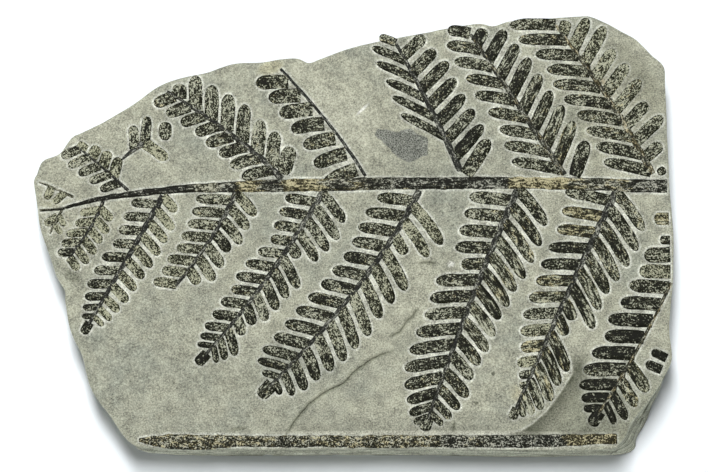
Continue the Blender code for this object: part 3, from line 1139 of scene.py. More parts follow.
    @staticmethod
    def turns_left(flat: np.ndarray, face: list[int]) -> bool:
        """Tell whether a flat triangle's corners run anticlockwise."""
        a, b, c = flat[face[0]], flat[face[1]], flat[face[2]]
        return (b[0] - a[0]) * (c[1] - a[1]) > (b[1] - a[1]) * (c[0] - a[0])


@dataclass(frozen=True)
class PlantFilm:
    """The finish of a pressed plant: flecks of coal with the stone showing between them, and round pale specks painted
    as glints of the coal.

    Args:
        name: the material's name, for what it is and how it was made.
        coal: five colours from the blackest coal to bare stone.
        olive: the same for film stained green and brown.
        ochre: the same for film under iron-stained clay.
        fleck: width of a fleck.
        draw: how many times longer than wide a fleck is where the film is streaked.
        rim: how much darker the margin is.
        contrast: how black and white its flecks are.
        patchy: how far the coal thickens in patches.
    """

    name: str
    coal: tuple[str, ...]
    olive: tuple[str, ...]
    ochre: tuple[str, ...]
    fleck: float
    draw: float
    rim: float
    contrast: float
    patchy: float

    STOPS = (0.0, 0.27, 0.52, 0.76, 1.0)
    BLOTCH = 2.0  # width of the patches where the coal is thicker
    SPECK = 0.4  # width of the finest specks

    def material(self) -> bpy.types.Material:
        """Return the finish, made once."""
        if self.name in bpy.data.materials:
            return bpy.data.materials[self.name]
        material, tree, shader = new_material(self.name)
        read = {
            name: add(tree, "ShaderNodeAttribute", settings={"attribute_name": name}).outputs["Fac"]
            for name in ("along", "across", "margin", "pick", "shade", "olive", "ochre", "streak", "tilt")
        }
        # The plant's own grain: flecks, drawn out lengthwise where the film is streaked.
        drawn = add(tree, "ShaderNodeMath", {0: read["streak"], 1: self.draw - 1, 2: 1.0}, {"operation": "MULTIPLY_ADD"})
        along = add(tree, "ShaderNodeMath", {0: read["along"], 1: drawn.outputs[0]}, {"operation": "DIVIDE"})
        place = add(tree, "ShaderNodeCombineXYZ", {"X": along.outputs[0], "Y": read["across"], "Z": read["pick"]})
        fleck = add(tree, "ShaderNodeTexNoise", {
            "Vector": place.outputs[0], "Scale": 1 / self.fleck, "Detail": 3.0, "Roughness": 0.65})
        blotch = add(tree, "ShaderNodeTexNoise", {
            "Vector": place.outputs[0], "Scale": 1 / self.BLOTCH, "Detail": 2.0, "Roughness": 0.5})
        round_place = add(tree, "ShaderNodeCombineXYZ", {"X": read["along"], "Y": read["across"], "Z": read["pick"]})
        speck = add(tree, "ShaderNodeTexNoise", {
            "Vector": round_place.outputs[0], "Scale": 1 / self.SPECK, "Detail": 1.0, "Roughness": 0.5})
        # Salt and pepper: the flecks in strong contrast, shifted as a whole by how much coal is left.
        level = add(tree, "ShaderNodeMath", {0: fleck.outputs["Fac"], 1: self.contrast, 2: -self.contrast / 2 - 0.28}, {"operation": "MULTIPLY_ADD"})
        level = add(tree, "ShaderNodeMath", {0: read["shade"], 1: 1.25, 2: level.outputs[0]}, {"operation": "MULTIPLY_ADD"})
        # Round specks, the pale ones painted glints of the shiny coal, fewer where the film is streaked.
        peppered = add(tree, "ShaderNodeMath", {
            0: read["streak"], 1: -0.8 * self.contrast, 2: self.contrast}, {"operation": "MULTIPLY_ADD"})
        speck = add(tree, "ShaderNodeMath", {0: speck.outputs["Fac"], 1: 0.5}, {"operation": "SUBTRACT"})
        level = add(tree, "ShaderNodeMath", {
            0: speck.outputs[0], 1: peppered.outputs[0], 2: level.outputs[0]}, {"operation": "MULTIPLY_ADD"})
        patch = add(tree, "ShaderNodeMath", {0: blotch.outputs["Fac"], 1: self.patchy, 2: -self.patchy / 2}, {"operation": "MULTIPLY_ADD"})
        level = add(tree, "ShaderNodeMath", {0: level.outputs[0], 1: patch.outputs[0]}, {"operation": "ADD"})
        # A crisp dark line of coal along the margin.
        rim = add(tree, "ShaderNodeMapRange", {
            "Value": read["margin"], "From Min": 0.1, "From Max": 0.5, "To Min": -self.rim, "To Max": 0.0})
        level = add(tree, "ShaderNodeMath", {0: level.outputs[0], 1: rim.outputs[0]}, {"operation": "ADD"})
        # Painted sheen on the film's left side and painted shade on its right.
        side = add(tree, "ShaderNodeMath", {0: read["across"], 1: read["tilt"], 2: level.outputs[0]}, {"operation": "MULTIPLY_ADD"})
        coats = [
            add(tree, "ShaderNodeValToRGB", {"Fac": side.outputs[0]}, stops=tuple(zip(self.STOPS, colours)))
            for colours in (self.coal, self.olive, self.ochre)
        ]
        tinted = add(tree, "ShaderNodeMix", {0: read["olive"], 6: coats[0].outputs[0], 7: coats[1].outputs[0]}, {"data_type": "RGBA"})
        # Iron-stained clay lies in patches of its own.
        clay = add(tree, "ShaderNodeTexNoise", {
            "Vector": place.outputs[0], "Scale": 1 / 1.3, "Detail": 4.0, "Roughness": 0.72})
        reach = add(tree, "ShaderNodeMath", {0: read["ochre"], 1: 0.5, 2: -0.65}, {"operation": "MULTIPLY_ADD"})
        patch = add(tree, "ShaderNodeMath", {0: clay.outputs["Fac"], 1: reach.outputs[0]}, {"operation": "ADD"})
        clay = add(tree, "ShaderNodeMapRange", {"Value": patch.outputs[0], "From Min": 0.0, "From Max": 0.05})
        coat = add(tree, "ShaderNodeMix", {0: clay.outputs[0], 6: tinted.outputs[2], 7: coats[2].outputs[0]}, {"data_type": "RGBA"})
        tree.links.new(coat.outputs[2], shader.inputs["Base Color"])
        # Coal keeps a dull gloss; the bare stone between has none.
        gloss = add(tree, "ShaderNodeMapRange", {
            "Value": side.outputs[0], "From Min": 0.1, "From Max": 0.7, "To Min": 0.5, "To Max": 0.85})
        tree.links.new(gloss.outputs[0], shader.inputs["Roughness"])
        shader.inputs["Specular IOR Level"].default_value = 0.05
        relief = add(tree, "ShaderNodeBump", {"Height": fleck.outputs["Fac"], "Strength": 0.35, "Distance": 0.00012})
        tree.links.new(relief.outputs[0], shader.inputs["Normal"])
        return material


class Film(Enum):
    """The finishes of the plant."""

    CARBON = PlantFilm(
        "pinnule coal, pressed and speckled",
        ("11120B", "24251A", "444638", "707265", "A8AA99"), ("1A1B10", "343527", "575846", "7E7F67", "A5A68E"),
        ("201F16", "45422F", "6D694D", "938E6F", "B8B393"), 0.55, 6.0, 0.24, 4.9, 2.6)
    RACHIS = PlantFilm(
        "pinna rachis coal, pressed flat and streaked",
        ("1E1F1D", "383A37", "565853", "767872", "9C9D94"), ("22221A", "40402F", "5E5E4A", "7F7F6B", "A0A08F"),
        ("2A2718", "544E38", "80785A", "A39A78", "B9B39C"), 0.5, 4.0, 0.2, 3.8, 2.0)
    STEM = PlantFilm(
        "stem coal, finely speckled and stained with clay",
        ("14150F", "292A24", "484A43", "6C6E66", "A0A195"), ("1D1E15", "38392B", "5C5B4A", "807F6B", "A7A793"),
        ("29271A", "4C4833", "706B50", "928C6C", "B2AC8C"), 0.55, 5.0, 0.16, 5.2, 2.6)

    def material(self) -> bpy.types.Material:
        """Return the finish, made once."""
        return self.value.material()


@dataclass(frozen=True)
class Stain:
    """A stain or a mark on the stone.

    Args:
        centre: its middle on the slab.
        size: its half length and half width.
        turn: the direction of its length, in degrees.
        colour: its sRGB colour.
        strength: how far it covers the stone.
        edge: how softly it fades out, as a share of its size.
        ragged: how far its edge wanders, as a share of its size.
        grain: width of the specks it is made of, or 0 where it is even.
    """

    centre: Point
    size: Point
    turn: float
    colour: str
    strength: float
    edge: float = 0.5
    ragged: float = 0.3
    grain: float = 0.0


def split_shale(stains: tuple[Stain, ...]) -> bpy.types.Material:
    """Make the grey-green shale: mottled and grainy, paler round the plant and darker in its cracks.

    Args:
        stains: the marks on its face.

    Returns:
        The material.
    """
    material, tree, shader = new_material("shale, split along its bedding")
    own = add(tree, "ShaderNodeTexCoord").outputs["Object"]
    place = add(tree, "ShaderNodeMapping", {"Vector": own, "Scale": (1000, 1000, 1000)}).outputs[0]
    # Grey-green mud in broad soft patches.
    cloud = add(tree, "ShaderNodeTexNoise", {"Vector": place, "Scale": 1 / 24, "Detail": 5.0, "Roughness": 0.68})
    stone = add(tree, "ShaderNodeValToRGB", {"Fac": cloud.outputs["Fac"]}, stops=(
        (0.34, "979B8D"), (0.45, "A4A695"), (0.55, "ABAC99"), (0.66, "B6B7A4")))
    # Mottling and the grain of the silt, seen as lighter and darker specks.
    mottle = add(tree, "ShaderNodeTexNoise", {"Vector": place, "Scale": 1 / 3.4, "Detail": 3.0, "Roughness": 0.6})
    grain = add(tree, "ShaderNodeTexNoise", {"Vector": place, "Scale": 1 / 0.5, "Detail": 4.0, "Roughness": 0.8})
    value = add(tree, "ShaderNodeMath", {0: mottle.outputs["Fac"], 1: 1.0, 2: 0.44}, {"operation": "MULTIPLY_ADD"})
    value = add(tree, "ShaderNodeMath", {0: grain.outputs["Fac"], 1: 3.2, 2: value.outputs[0]}, {"operation": "MULTIPLY_ADD"})
    value = add(tree, "ShaderNodeMath", {0: value.outputs[0], 1: 1.71}, {"operation": "SUBTRACT"})
    # Dark grains of silt and plant dust.
    dust = add(tree, "ShaderNodeTexNoise", {"Vector": place, "Scale": 1 / 1.3, "Detail": 2.0, "Roughness": 0.6})
    dust = add(tree, "ShaderNodeMapRange", {
        "Value": dust.outputs["Fac"], "From Min": 0.66, "From Max": 0.74, "To Min": 1.0, "To Max": 0.72})
    value = add(tree, "ShaderNodeMath", {0: value.outputs[0], 1: dust.outputs[0]}, {"operation": "MULTIPLY"})
    # The clean pale stone that shows beside the coal, in uneven patches.
    plant = add(tree, "ShaderNodeAttribute", settings={"attribute_name": "plant"}).outputs["Fac"]
    halo = add(tree, "ShaderNodeMapRange", {
        "Value": plant, "From Min": 0.1, "From Max": 0.95, "To Min": 1.0, "To Max": 0.0}, {"interpolation_type": "SMOOTHSTEP"})
    patchy = add(tree, "ShaderNodeMapRange", {
        "Value": mottle.outputs["Fac"], "From Min": 0.36, "From Max": 0.6, "To Min": 0.45, "To Max": 1.0})
    halo = add(tree, "ShaderNodeMath", {0: halo.outputs[0], 1: patchy.outputs[0]}, {"operation": "MULTIPLY"})
    colour = add(tree, "ShaderNodeMix", {0: halo.outputs[0], 6: stone.outputs[0], 7: linear("D3D5C8")}, {"data_type": "RGBA"})
    for stain in stains:
        x, y = stain.centre
        spot = add(tree, "ShaderNodeMapping", {
            "Vector": place, "Location": (x, y, Bedding.TOP), "Rotation": (0, 0, math.radians(stain.turn)),
            "Scale": (*stain.size, 30)}, {"vector_type": "TEXTURE"})
        away = add(tree, "ShaderNodeVectorMath", {0: spot.outputs[0]}, {"operation": "LENGTH"})
        wander = add(tree, "ShaderNodeTexNoise", {
            "Vector": place, "Scale": 1.6 / max(min(stain.size), 0.8), "Detail": 3.0})
        away = add(tree, "ShaderNodeMath", {
            0: wander.outputs["Fac"], 1: stain.ragged * 2, 2: away.outputs["Value"]}, {"operation": "MULTIPLY_ADD"})
        held = add(tree, "ShaderNodeMapRange", {
            "Value": away.outputs[0], "From Min": 1 + stain.ragged - stain.edge, "From Max": 1 + stain.ragged,
            "To Min": stain.strength, "To Max": 0.0}, {"interpolation_type": "SMOOTHSTEP"})
        if stain.grain:
            specks = add(tree, "ShaderNodeTexNoise", {"Vector": place, "Scale": 1 / stain.grain, "Detail": 2.0})
            specks = add(tree, "ShaderNodeMapRange", {"Value": specks.outputs["Fac"], "From Min": 0.4, "From Max": 0.62, "To Min": 0.5})
            held = add(tree, "ShaderNodeMath", {0: held.outputs[0], 1: specks.outputs[0]}, {"operation": "MULTIPLY"})
        colour = add(tree, "ShaderNodeMix", {0: held.outputs[0], 6: colour.outputs[2], 7: linear(stain.colour)}, {"data_type": "RGBA"})
    # A flake of grey plant skin with a finely netted face.
    skin = add(tree, "ShaderNodeAttribute", settings={"attribute_name": "scale"}).outputs["Fac"]
    frayed = add(tree, "ShaderNodeMath", {0: grain.outputs["Fac"], 1: 1.6, 2: skin}, {"operation": "MULTIPLY_ADD"})
    frayed = add(tree, "ShaderNodeMath", {0: mottle.outputs["Fac"], 1: 2.2, 2: frayed.outputs[0]}, {"operation": "MULTIPLY_ADD"})
    skin = add(tree, "ShaderNodeMapRange", {
        "Value": frayed.outputs[0], "From Min": 1.82, "From Max": 1.94, "To Min": 0.0, "To Max": 0.92})
    net = add(tree, "ShaderNodeTexVoronoi", {"Vector": place, "Scale": 1 / 0.62}, {"feature": "DISTANCE_TO_EDGE"})
    net = add(tree, "ShaderNodeValToRGB", {"Fac": net.outputs["Distance"]}, stops=((0.02, "92958C"), (0.22, "4C4F49")))
    colour = add(tree, "ShaderNodeMix", {0: skin.outputs[0], 6: colour.outputs[2], 7: net.outputs[0]}, {"data_type": "RGBA"})
    # Painted shade in the hairline cracks: the stone darkens towards each crack.
    crack = add(tree, "ShaderNodeAttribute", settings={"attribute_name": "crack"}).outputs["Fac"]
    painted_crack_shade = add(tree, "ShaderNodeMapRange", {
        "Value": crack, "From Min": 0.1, "From Max": 1.15, "To Min": 0.6, "To Max": 0.0}, {"interpolation_type": "SMOOTHSTEP"})
    colour = add(tree, "ShaderNodeMix", {0: painted_crack_shade.outputs[0], 6: colour.outputs[2], 7: linear("686B58")}, {"data_type": "RGBA"})
    # Painted shadow darkening the ground along the foot of the step, and a painted highlight on the pale edge above
    # it.
    beyond = add(tree, "ShaderNodeAttribute", settings={"attribute_name": "ledge"}).outputs["Fac"]
    lasting = add(tree, "ShaderNodeAttribute", settings={"attribute_name": "ledge_held"}).outputs["Fac"]
    foot = add(tree, "ShaderNodeMapRange", {"Value": beyond, "From Min": 0.0, "From Max": 0.5})
    fade = add(tree, "ShaderNodeMapRange", {
        "Value": beyond, "From Min": 0.5, "From Max": 6.5, "To Min": 1.0, "To Max": 0.0}, {"interpolation_type": "SMOOTHSTEP"})
    foot = add(tree, "ShaderNodeMath", {0: foot.outputs[0], 1: fade.outputs[0]}, {"operation": "MULTIPLY"})
    foot = add(tree, "ShaderNodeMath", {0: foot.outputs[0], 1: patchy.outputs[0]}, {"operation": "MULTIPLY"})
    foot = add(tree, "ShaderNodeMath", {0: foot.outputs[0], 1: lasting}, {"operation": "MULTIPLY"})
    colour = add(tree, "ShaderNodeMix", {0: foot.outputs[0], 6: colour.outputs[2], 7: linear("4F5243")}, {"data_type": "RGBA"})
    # The painted highlight along the step's edge.
    above = add(tree, "ShaderNodeMapRange", {"Value": beyond, "From Min": -0.7, "From Max": -0.15})
    edge = add(tree, "ShaderNodeMapRange", {
        "Value": beyond, "From Min": -0.1, "From Max": 0.15, "To Min": 0.6, "To Max": 0.0})
    edge = add(tree, "ShaderNodeMath", {0: above.outputs[0], 1: edge.outputs[0]}, {"operation": "MULTIPLY"})
    edge = add(tree, "ShaderNodeMath", {0: edge.outputs[0], 1: lasting}, {"operation": "MULTIPLY"})
    colour = add(tree, "ShaderNodeMix", {0: edge.outputs[0], 6: colour.outputs[2], 7: linear("D3D5C8")}, {"data_type": "RGBA"})
    # The broken side: thin layers, each of its own grey.
    bands = add(tree, "ShaderNodeMapping", {"Vector": own, "Scale": (45, 45, 900)})
    layers = add(tree, "ShaderNodeTexNoise", {"Vector": bands.outputs[0], "Scale": 1.0, "Detail": 4.0, "Roughness": 0.6})
    layers = add(tree, "ShaderNodeValToRGB", {"Fac": layers.outputs["Fac"]}, stops=(
        (0.34, "6A6E60"), (0.5, "949786"), (0.64, "B0B4A3")))
    side = add(tree, "ShaderNodeAttribute", settings={"attribute_name": "side"}).outputs["Fac"]
    colour = add(tree, "ShaderNodeMix", {0: side, 6: colour.outputs[2], 7: layers.outputs[0]}, {"data_type": "RGBA"})
    colour = add(tree, "ShaderNodeHueSaturation", {"Color": colour.outputs[2], "Value": value.outputs[0]})
    tree.links.new(colour.outputs[0], shader.inputs["Base Color"])
    shader.inputs["Roughness"].default_value = 0.9
    shader.inputs["Specular IOR Level"].default_value = 0.25
    # The tooth of the split face.
    tooth = add(tree, "ShaderNodeMath", {0: grain.outputs["Fac"], 1: mottle.outputs["Fac"]}, {"operation": "ADD"})
    relief = add(tree, "ShaderNodeBump", {"Height": tooth.outputs[0], "Strength": 0.5, "Distance": 0.0002})
    tree.links.new(relief.outputs[0], shader.inputs["Normal"])
    return material


def kept_along(*looks: tuple[float, Kept]) -> tuple[tuple[float, Look], ...]:
    """Return looks at distances along a stem, from its table of what is kept."""
    return tuple((distance, kept.value) for distance, kept in looks)


PINNAE = (
    Pinna(
        "pinna_upper_1", ((-88.6, 11.2), (-94.0, 13.8), (-98.6, 15.6)), (0.8, 0.6), Kept.OLIVE,
        left=Row(2.0, 6.4, (223, 244), 2.6, (4.8, 4.4), kept=(Kept.FAINT, Kept.FAINT)),
    ),
    Pinna(
        "pinna_upper_2", ((-71.4, 13.6), (-79.2, 20.7), (-87.0, 27.0)), (1.0, 0.6), Kept.SILVERED,
        left=Row(2.4, 19.0, (201, 204), 3.1, (6.6, 7.0, 7.4, 7.6, 6.4), 10, (Kept.SPECKLED, Kept.GREY)),
        right=Row(5.3, 18.8, (75, 60), 3.6, (6.5, 5.6, 4.4, 2.6), kept=(Kept.OLIVE, Kept.FAINT)),
    ),
    Pinna(
        "pinna_upper_3", ((-23.2, 17.4), (-36.1, 29.0), (-58.6, 44.6)), (1.9, 0.8), Kept.SILVERED,
        left=Row(
            2.9, 41.6, (195, 202), 4.0, (10.2, 9.9, 9.1, 9.0, 7.8, 7.9, 8.0, 7.2), 14,
            (Kept.SPECKLED, Kept.SPECKLED),
        ),
        right=Row(
            3.8, 40.0, (84, 92), 4.5, (11.6, 11.2, 12.4, 12.1, 11.4, 11.0, 5.0),
            kept=(Kept.GREY, Kept.GREY),
        ),
    ),
    Pinna(
        "pinna_upper_4", ((3.2, 18.4), (-8.3, 34.8), (-23.0, 51.8)), (1.0, 0.8), Kept.CHAR,
        left=Row(
            2.1, 37.0, (206, 194, 188, 184), 4.7, (11.4, 10.8, 10.4, 10.6, 10.6, 10.2, 10.3), 14,
            (Kept.SPECKLED, Kept.SPECKLED), 1.2, -0.35,
        ),
    ),
    Pinna(
        "pinna_upper_5", ((33.0, 20.2), (23.9, 39.7), (13.4, 60.0)), (2.0, 1.0), Kept.SILVERED,
        left=Row(10.6, 44.5, (152, 158), 2.9, (15.6, 15.2, 13.9, 13.7, 11.7, 5.6), 8, (Kept.DARK, Kept.SPECKLED)),
        right=Row(
            3.6, 39.8, (49, 44), 4.2, (13.8, 13.2, 12.4, 12.2, 12.4, 10.4, 9.4), 4,
            (Kept.DARK, Kept.SPECKLED),
        ),
    ),
    Pinna(
        "pinna_upper_6", ((65.4, 18.8), (51.9, 39.9), (36.9, 63.0)), (1.9, 1.0), Kept.WORN,
        left=Row(
            0.7, 52.8, (170, 171), 3.8, (15.7, 14.5, 12.4, 12.4, 13.0, 12.2, 12.4, 11.2, 7.2), 10,
            (Kept.SPECKLED, Kept.SPECKLED),
        ),
        right=Row(
            3.3, 49.2, (68, 60), 4.2, (14.6, 14.3, 13.4, 13.3, 13.2, 12.1, 11.2, 5.2), 4,
            (Kept.RIBBED, Kept.DARK),
        ),
    ),
    Pinna(
        "pinna_upper_7", ((93.2, 19.2), (80.3, 41.8), (63.8, 66.0)), (1.9, 1.0), Kept.CLAYED,
        left=Row(
            -0.4, 55.4, (168, 181), 3.9,
            (15.3, 14.7, 14.7, 14.5, 15.2, 15.2, 13.6, 13.7, 15.4, 14.6), 8, (Kept.SPECKLED, Kept.SPECKLED),
        ),
        right=Row(
            4.5, 52.0, (40, 68), 4.2, (7.2, 12.2, 10.2, 12.6, 12.1, 11.4, 13.8, 10.8, 4.4), 4,
            (Kept.SPECKLED, Kept.OLIVE), fade=0.1,
        ),
    ),
    Pinna(
        "pinna_lower_1", ((-91.6, 5.8), (-93.2, 2.9), (-94.8, -0.9)), (0.8, 0.6), Kept.OLIVE,
        left=Row(1.0, 4.4, (300, 312), 2.0, (4.0, 3.9), kept=(Kept.FAINT, Kept.FAINT)),
        right=Row(1.6, 1.6, (210,), 3.0, (4.8,), kept=(Kept.OLIVE, Kept.OLIVE)),
    ),
    Pinna(
        "pinna_lower_2", ((-78.6, 8.6), (-82.6, 0.4), (-89.4, -9.4)), (1.1, 0.7), Kept.DARK,
        left=Row(1.6, 19.8, (313, 304), 3.0, (5.3, 6.1, 5.8, 6.3, 6.1, 5.0), -8, (Kept.FAINT, Kept.OLIVE)),
        right=Row(2.2, 17.8, (190, 183), 2.9, (6.3, 6.0, 6.8, 6.1, 5.0), 8, (Kept.FAINT, Kept.OLIVE, Kept.DARK)),
    ),
    Pinna(
        "pinna_lower_3", ((-60.2, 10.2), (-70.5, -8.5), (-82.8, -30.2)), (1.9, 1.0), Kept.DARK,
        left=Row(
            -1.0, 42.6, (309, 315), 3.3, (6.6, 8.8, 8.8, 8.8, 8.6, 8.0, 7.7, 7.3, 6.4, 5.7, 4.4), -12,
            (Kept.FAINT, Kept.OLIVE, Kept.FAINT),
        ),
        right=Row(
            2.2, 42.6, (176, 182), 3.2, (8.4, 8.5, 7.6, 7.0, 8.1, 8.1, 7.8, 6.3, 5.0, 3.6), 10,
            (Kept.GREY, Kept.DARK),
        ),
        bud=1.6,
    ),
    Pinna(
        "pinna_lower_4", ((-37.2, 11.4), (-45.2, -3.4), (-56.1, -18.1)), (1.7, 0.9), Kept.SILVERED,
        left=Row(-0.6, 27.6, (311, 302), 3.7, (9.6, 9.4, 9.8, 7.6, 8.6, 9.0, 5.6), -14, (Kept.OLIVE, Kept.GREY, Kept.OLIVE)),
        right=Row(
            2.0, 33.6, (177, 173), 3.4, (11.4, 10.6, 9.8, 9.4, 8.4, 8.6, 7.6, 7.4), 8,
            (Kept.GREY, Kept.OLIVE),
        ),
    ),
    Pinna(
        "pinna_lower_5", ((-10.2, 11.4), (-27.4, -15.6), (-46.6, -39.8)), (1.9, 0.9), Kept.SILVERED,
        left=Row(
            -0.6, 58.4, (307, 281), 3.6,
            (11.6, 13.0, 12.2, 11.0, 5.0, 11.2, 10.1, 9.8, 9.2, 6.4, 5.8, 8.8, 7.0, 5.4), -12,
            (Kept.GREY, Kept.SPECKLED), fade=-0.3,
        ),
        right=Row(
            2.8, 58.4, (171, 173), 3.4,
            (10.0, 9.3, 8.4, 6.8, 8.1, 9.2, 9.4, 8.0, 8.3, 7.9, 7.4, 6.2, 5.0), 8,
            (Kept.SPECKLED, Kept.DARK), fade=-0.15,
        ),
        bud=1.8,
    ),
    Pinna(
        "pinna_lower_6", ((20.2, 11.8), (1.1, -18.0), (-26.6, -49.6)), (2.0, 1.0), Kept.SILVERED,
        left=Row(
            4.0, 74.4, (306, 297, 290, 291, 292), 3.9,
            (15.8, 14.0, 7.0, 14.4, 13.4, 13.3, 14.2, 13.7, 13.2, 12.0, 10.5, 9.7, 7.9, 4.6), -14,
            (Kept.OLIVE, Kept.DARK), fade=-0.4,
        ),
        right=Row(
            2.8, 72.6, (174, 168, 164), 3.9,
            (11.6, 12.6, 12.0, 10.9, 10.4, 10.7, 10.9, 11.4, 11.7, 11.5, 11.2, 11.2, 9.6, 5.4), 10,
            (Kept.SPECKLED, Kept.DARK), fade=-0.2,
        ),
        bud=2.2,
    ),
    Pinna(
        "pinna_lower_7", ((50.9, 12.2), (37.4, -20.2), (22.8, -59.9)), (2.1, 1.0), Kept.SILVERED,
        left=Row(
            -1.2, 74.6, (307, 303, 306, 310, 314), 3.9,
            (14.6, 16.0, 16.0, 15.6, 14.2, 13.8, 12.4, 12.7, 12.2, 11.0, 10.2, 10.8, 9.3, 7.5, 5.5), -16,
            (Kept.SPECKLED, Kept.RIBBED, Kept.RIBBED, Kept.SPECKLED, Kept.SPECKLED),
        ),
        right=Row(
            3.0, 76.0, (174, 181, 188, 202), 4.1,
            (13.6, 13.0, 12.4, 11.6, 7.6, 13.6, 13.5, 13.2, 14.0, 14.2, 14.0, 12.2, 9.8, 7.6, 5.0), 8,
            (Kept.SPECKLED, Kept.DARK),
        ),
        bud=1.9,
    ),
    Pinna(
        "pinna_lower_8", ((81.6, 11.4), (66.4, -20.6), (50.0, -57.0)), (2.1, 1.0), Kept.SILVERED,
        left=Row(
            -1.0, 72.4, (305, 298, 295, 292, 290), 3.9,
            (15.0, 16.4, 16.2, 15.4, 14.2, 14.2, 15.2, 6.6, 6.4, 13.4, 12.6, 12.4, 10.2, 7.6, 4.6), -16,
            (Kept.SPECKLED, Kept.RIBBED, Kept.RIBBED),
        ),
        right=Row(
            2.2, 66.0, (168, 178, 182, 187, 192), 3.9,
            (14.8, 13.2, 12.3, 12.6, 12.6, 11.8, 11.7, 11.2, 9.8, 7.4, 6.4, 4.0, 2.4), 8,
            (Kept.SPECKLED, Kept.TANNED, Kept.TANNED, Kept.DARK, Kept.DARK, Kept.TANNED, Kept.TANNED, Kept.GREY,
             Kept.OLIVE, Kept.TANNED, Kept.FAINT, Kept.GREY, Kept.GREY),
        ),
        bud=1.5,
    ),
    Pinna(
        "pinna_lower_9", ((98.6, -17.4), (88.0, -37.8), (75.4, -58.4)), (0.9, 1.0), Kept.CLAYED,
        left=Row(28.0, 42.2, (303, 293), 4.2, (10.4, 9.9, 9.6, 7.2), -10, (Kept.TANNED, Kept.SPECKLED, Kept.COALY)),
        right=Row(
            0.8, 44.0, (176, 182), 4.5, (12.4, 12.6, 13.9, 12.3, 13.4, 13.2, 11.7, 8.6, 5.8), 6,
            (Kept.SPECKLED, Kept.DARK, Kept.COALY, Kept.COALY, Kept.COALY, Kept.DARK, Kept.COALY, Kept.COALY,
             Kept.COALY),
        ),
        bud=2.0,
    ),
    Pinna(
        "pinna_fragment", ((-71.8, 23.4), (-69.0, 25.8), (-65.4, 28.2)), (0.8, 2.2), Kept.CHAR,
        left=Row(4.2, 8.0, (95, 86), 3.4, (7.6, 8.4), kept=(Kept.GREY, Kept.SPECKLED)),
        right=Row(7.8, 7.8, (324,), 3.9, (9.0,), kept=(Kept.FAINT,)),
    ),
)

LOOSE_PINNULES = (
    LoosePinnule("loose_pinnule_1", Pinnule((-59.2, 28.9), 88, 5.9, 4.2, 0, Kept.GREY.value, 0.4)),
    LoosePinnule("loose_pinnule_2", Pinnule((-22.0, 18.0), 76, 9.2, 5.0, 0, Kept.GREY.value, 0.6)),
    LoosePinnule("loose_pinnule_3", Pinnule((35.2, 17.8), 57, 13.6, 4.8, 0, Kept.SPECKLED.value, 0.9)),
    LoosePinnule("loose_pinnule_4", Pinnule((69.2, 17.4), 71, 12.0, 4.6, 0, Kept.DARK.value, 0.8)),
    LoosePinnule("loose_pinnule_5", Pinnule((95.2, 18.5), 24, 2.9, 2.8, 0, Kept.SPECKLED.value, 0.4)),
    LoosePinnule("loose_pinnule_6", Pinnule((98.6, 3.9), 180, 4.6, 4.2, 0, Kept.TANNED.value)),
    LoosePinnule("loose_pinnule_7", Pinnule((98.9, -2.9), 180, 3.2, 3.0, 0, Kept.SPECKLED.value)),
    LoosePinnule("loose_pinnule_8", Pinnule((98.9, -7.4), 183, 8.2, 5.0, 0, Kept.SPECKLED.value)),
    LoosePinnule("loose_pinnule_9", Pinnule((98.9, -12.9), 179, 9.8, 4.6, 0, Kept.OLIVE.value)),
    LoosePinnule("loose_pinnule_10", Pinnule((97.3, -40.2), 154, 5.2, 3.0, 0, Kept.COALY.value)),
    LoosePinnule("loose_pinnule_11", Pinnule((95.7, -43.8), 157, 5.4, 3.2, 0, Kept.COALY.value)),
)

STEMS = (
    Stem(
        "main_rachis",
        (
            (-98.2, 6.6, 0.8), (-91.1, 7.2, 1.0), (-82.3, 9.5, 1.5), (-69.8, 11.6, 2.0), (-51.1, 13.5, 2.8),
            (-35.5, 14.1, 3.7), (-7.3, 14.7, 4.2), (20.8, 15.1, 4.0), (64.5, 15.1, 4.0), (98.3, 14.1, 4.4),
        ),
        0.62,
        kept_along(
            (0, Kept.OLIVE), (9, Kept.COALY), (46, Kept.COALY), (50.5, Kept.OLIVE), (55, Kept.OLIVE),
            (58, Kept.CHAR), (61, Kept.CHAR), (64, Kept.SANDED), (67, Kept.SANDED), (70.5, Kept.WORN),
            (75.5, Kept.CHAR), (78.5, Kept.SANDED), (86, Kept.SANDED), (89, Kept.CLAYED), (92.5, Kept.WORN),
            (106, Kept.WORN), (112, Kept.CHAR), (147.2, Kept.CHAR), (147.8, Kept.BARED), (165, Kept.BARED),
            (166, Kept.CLAYED), (172, Kept.WORN), (183, Kept.WORN), (189, Kept.CHAR), (197, Kept.CHAR),
        ),
        0.2,
    ),
    Stem(
        "edge_stem",
        (
            (-66.4, -65.8, 1.4), (-62.6, -66.0, 3.0), (-32.3, -66.1, 3.6), (30.2, -66.1, 3.9),
            (58.3, -66.0, 4.0), (81.6, -65.4, 3.2),
        ),
        0.62,
        kept_along(
            (0, Kept.CLAYED), (36, Kept.CLAYED), (44, Kept.WORN), (60, Kept.CLAYED), (92, Kept.CLAYED),
            (95, Kept.CHAR), (106, Kept.WORN), (112, Kept.CHAR), (130, Kept.CHAR), (134, Kept.CLUMPED),
            (148, Kept.CLUMPED),
        ),
        0.26, 0.12,
    ),
)

LEDGES = (
    Ledge(
        ((66.4, -36.8), (68.0, -41.3), (68.0, -44.8), (66.1, -47.9), (63.6, -51.7), (61.7, -54.3),
         (59.8, -56.8), (55.5, -60.6), (52.0, -62.8), (44.0, -64.0)),
        0.65, 1.1, 22.0, True,
    ),
    Ledge(
        ((-78.3, -30.1), (-72.9, -29.5), (-69.2, -26.3), (-67.6, -23.5), (-65.8, -20.9), (-63.6, -18.7),
         (-54.2, -17.8)),
        0.2, 0.7, 9.0,
    ),
)

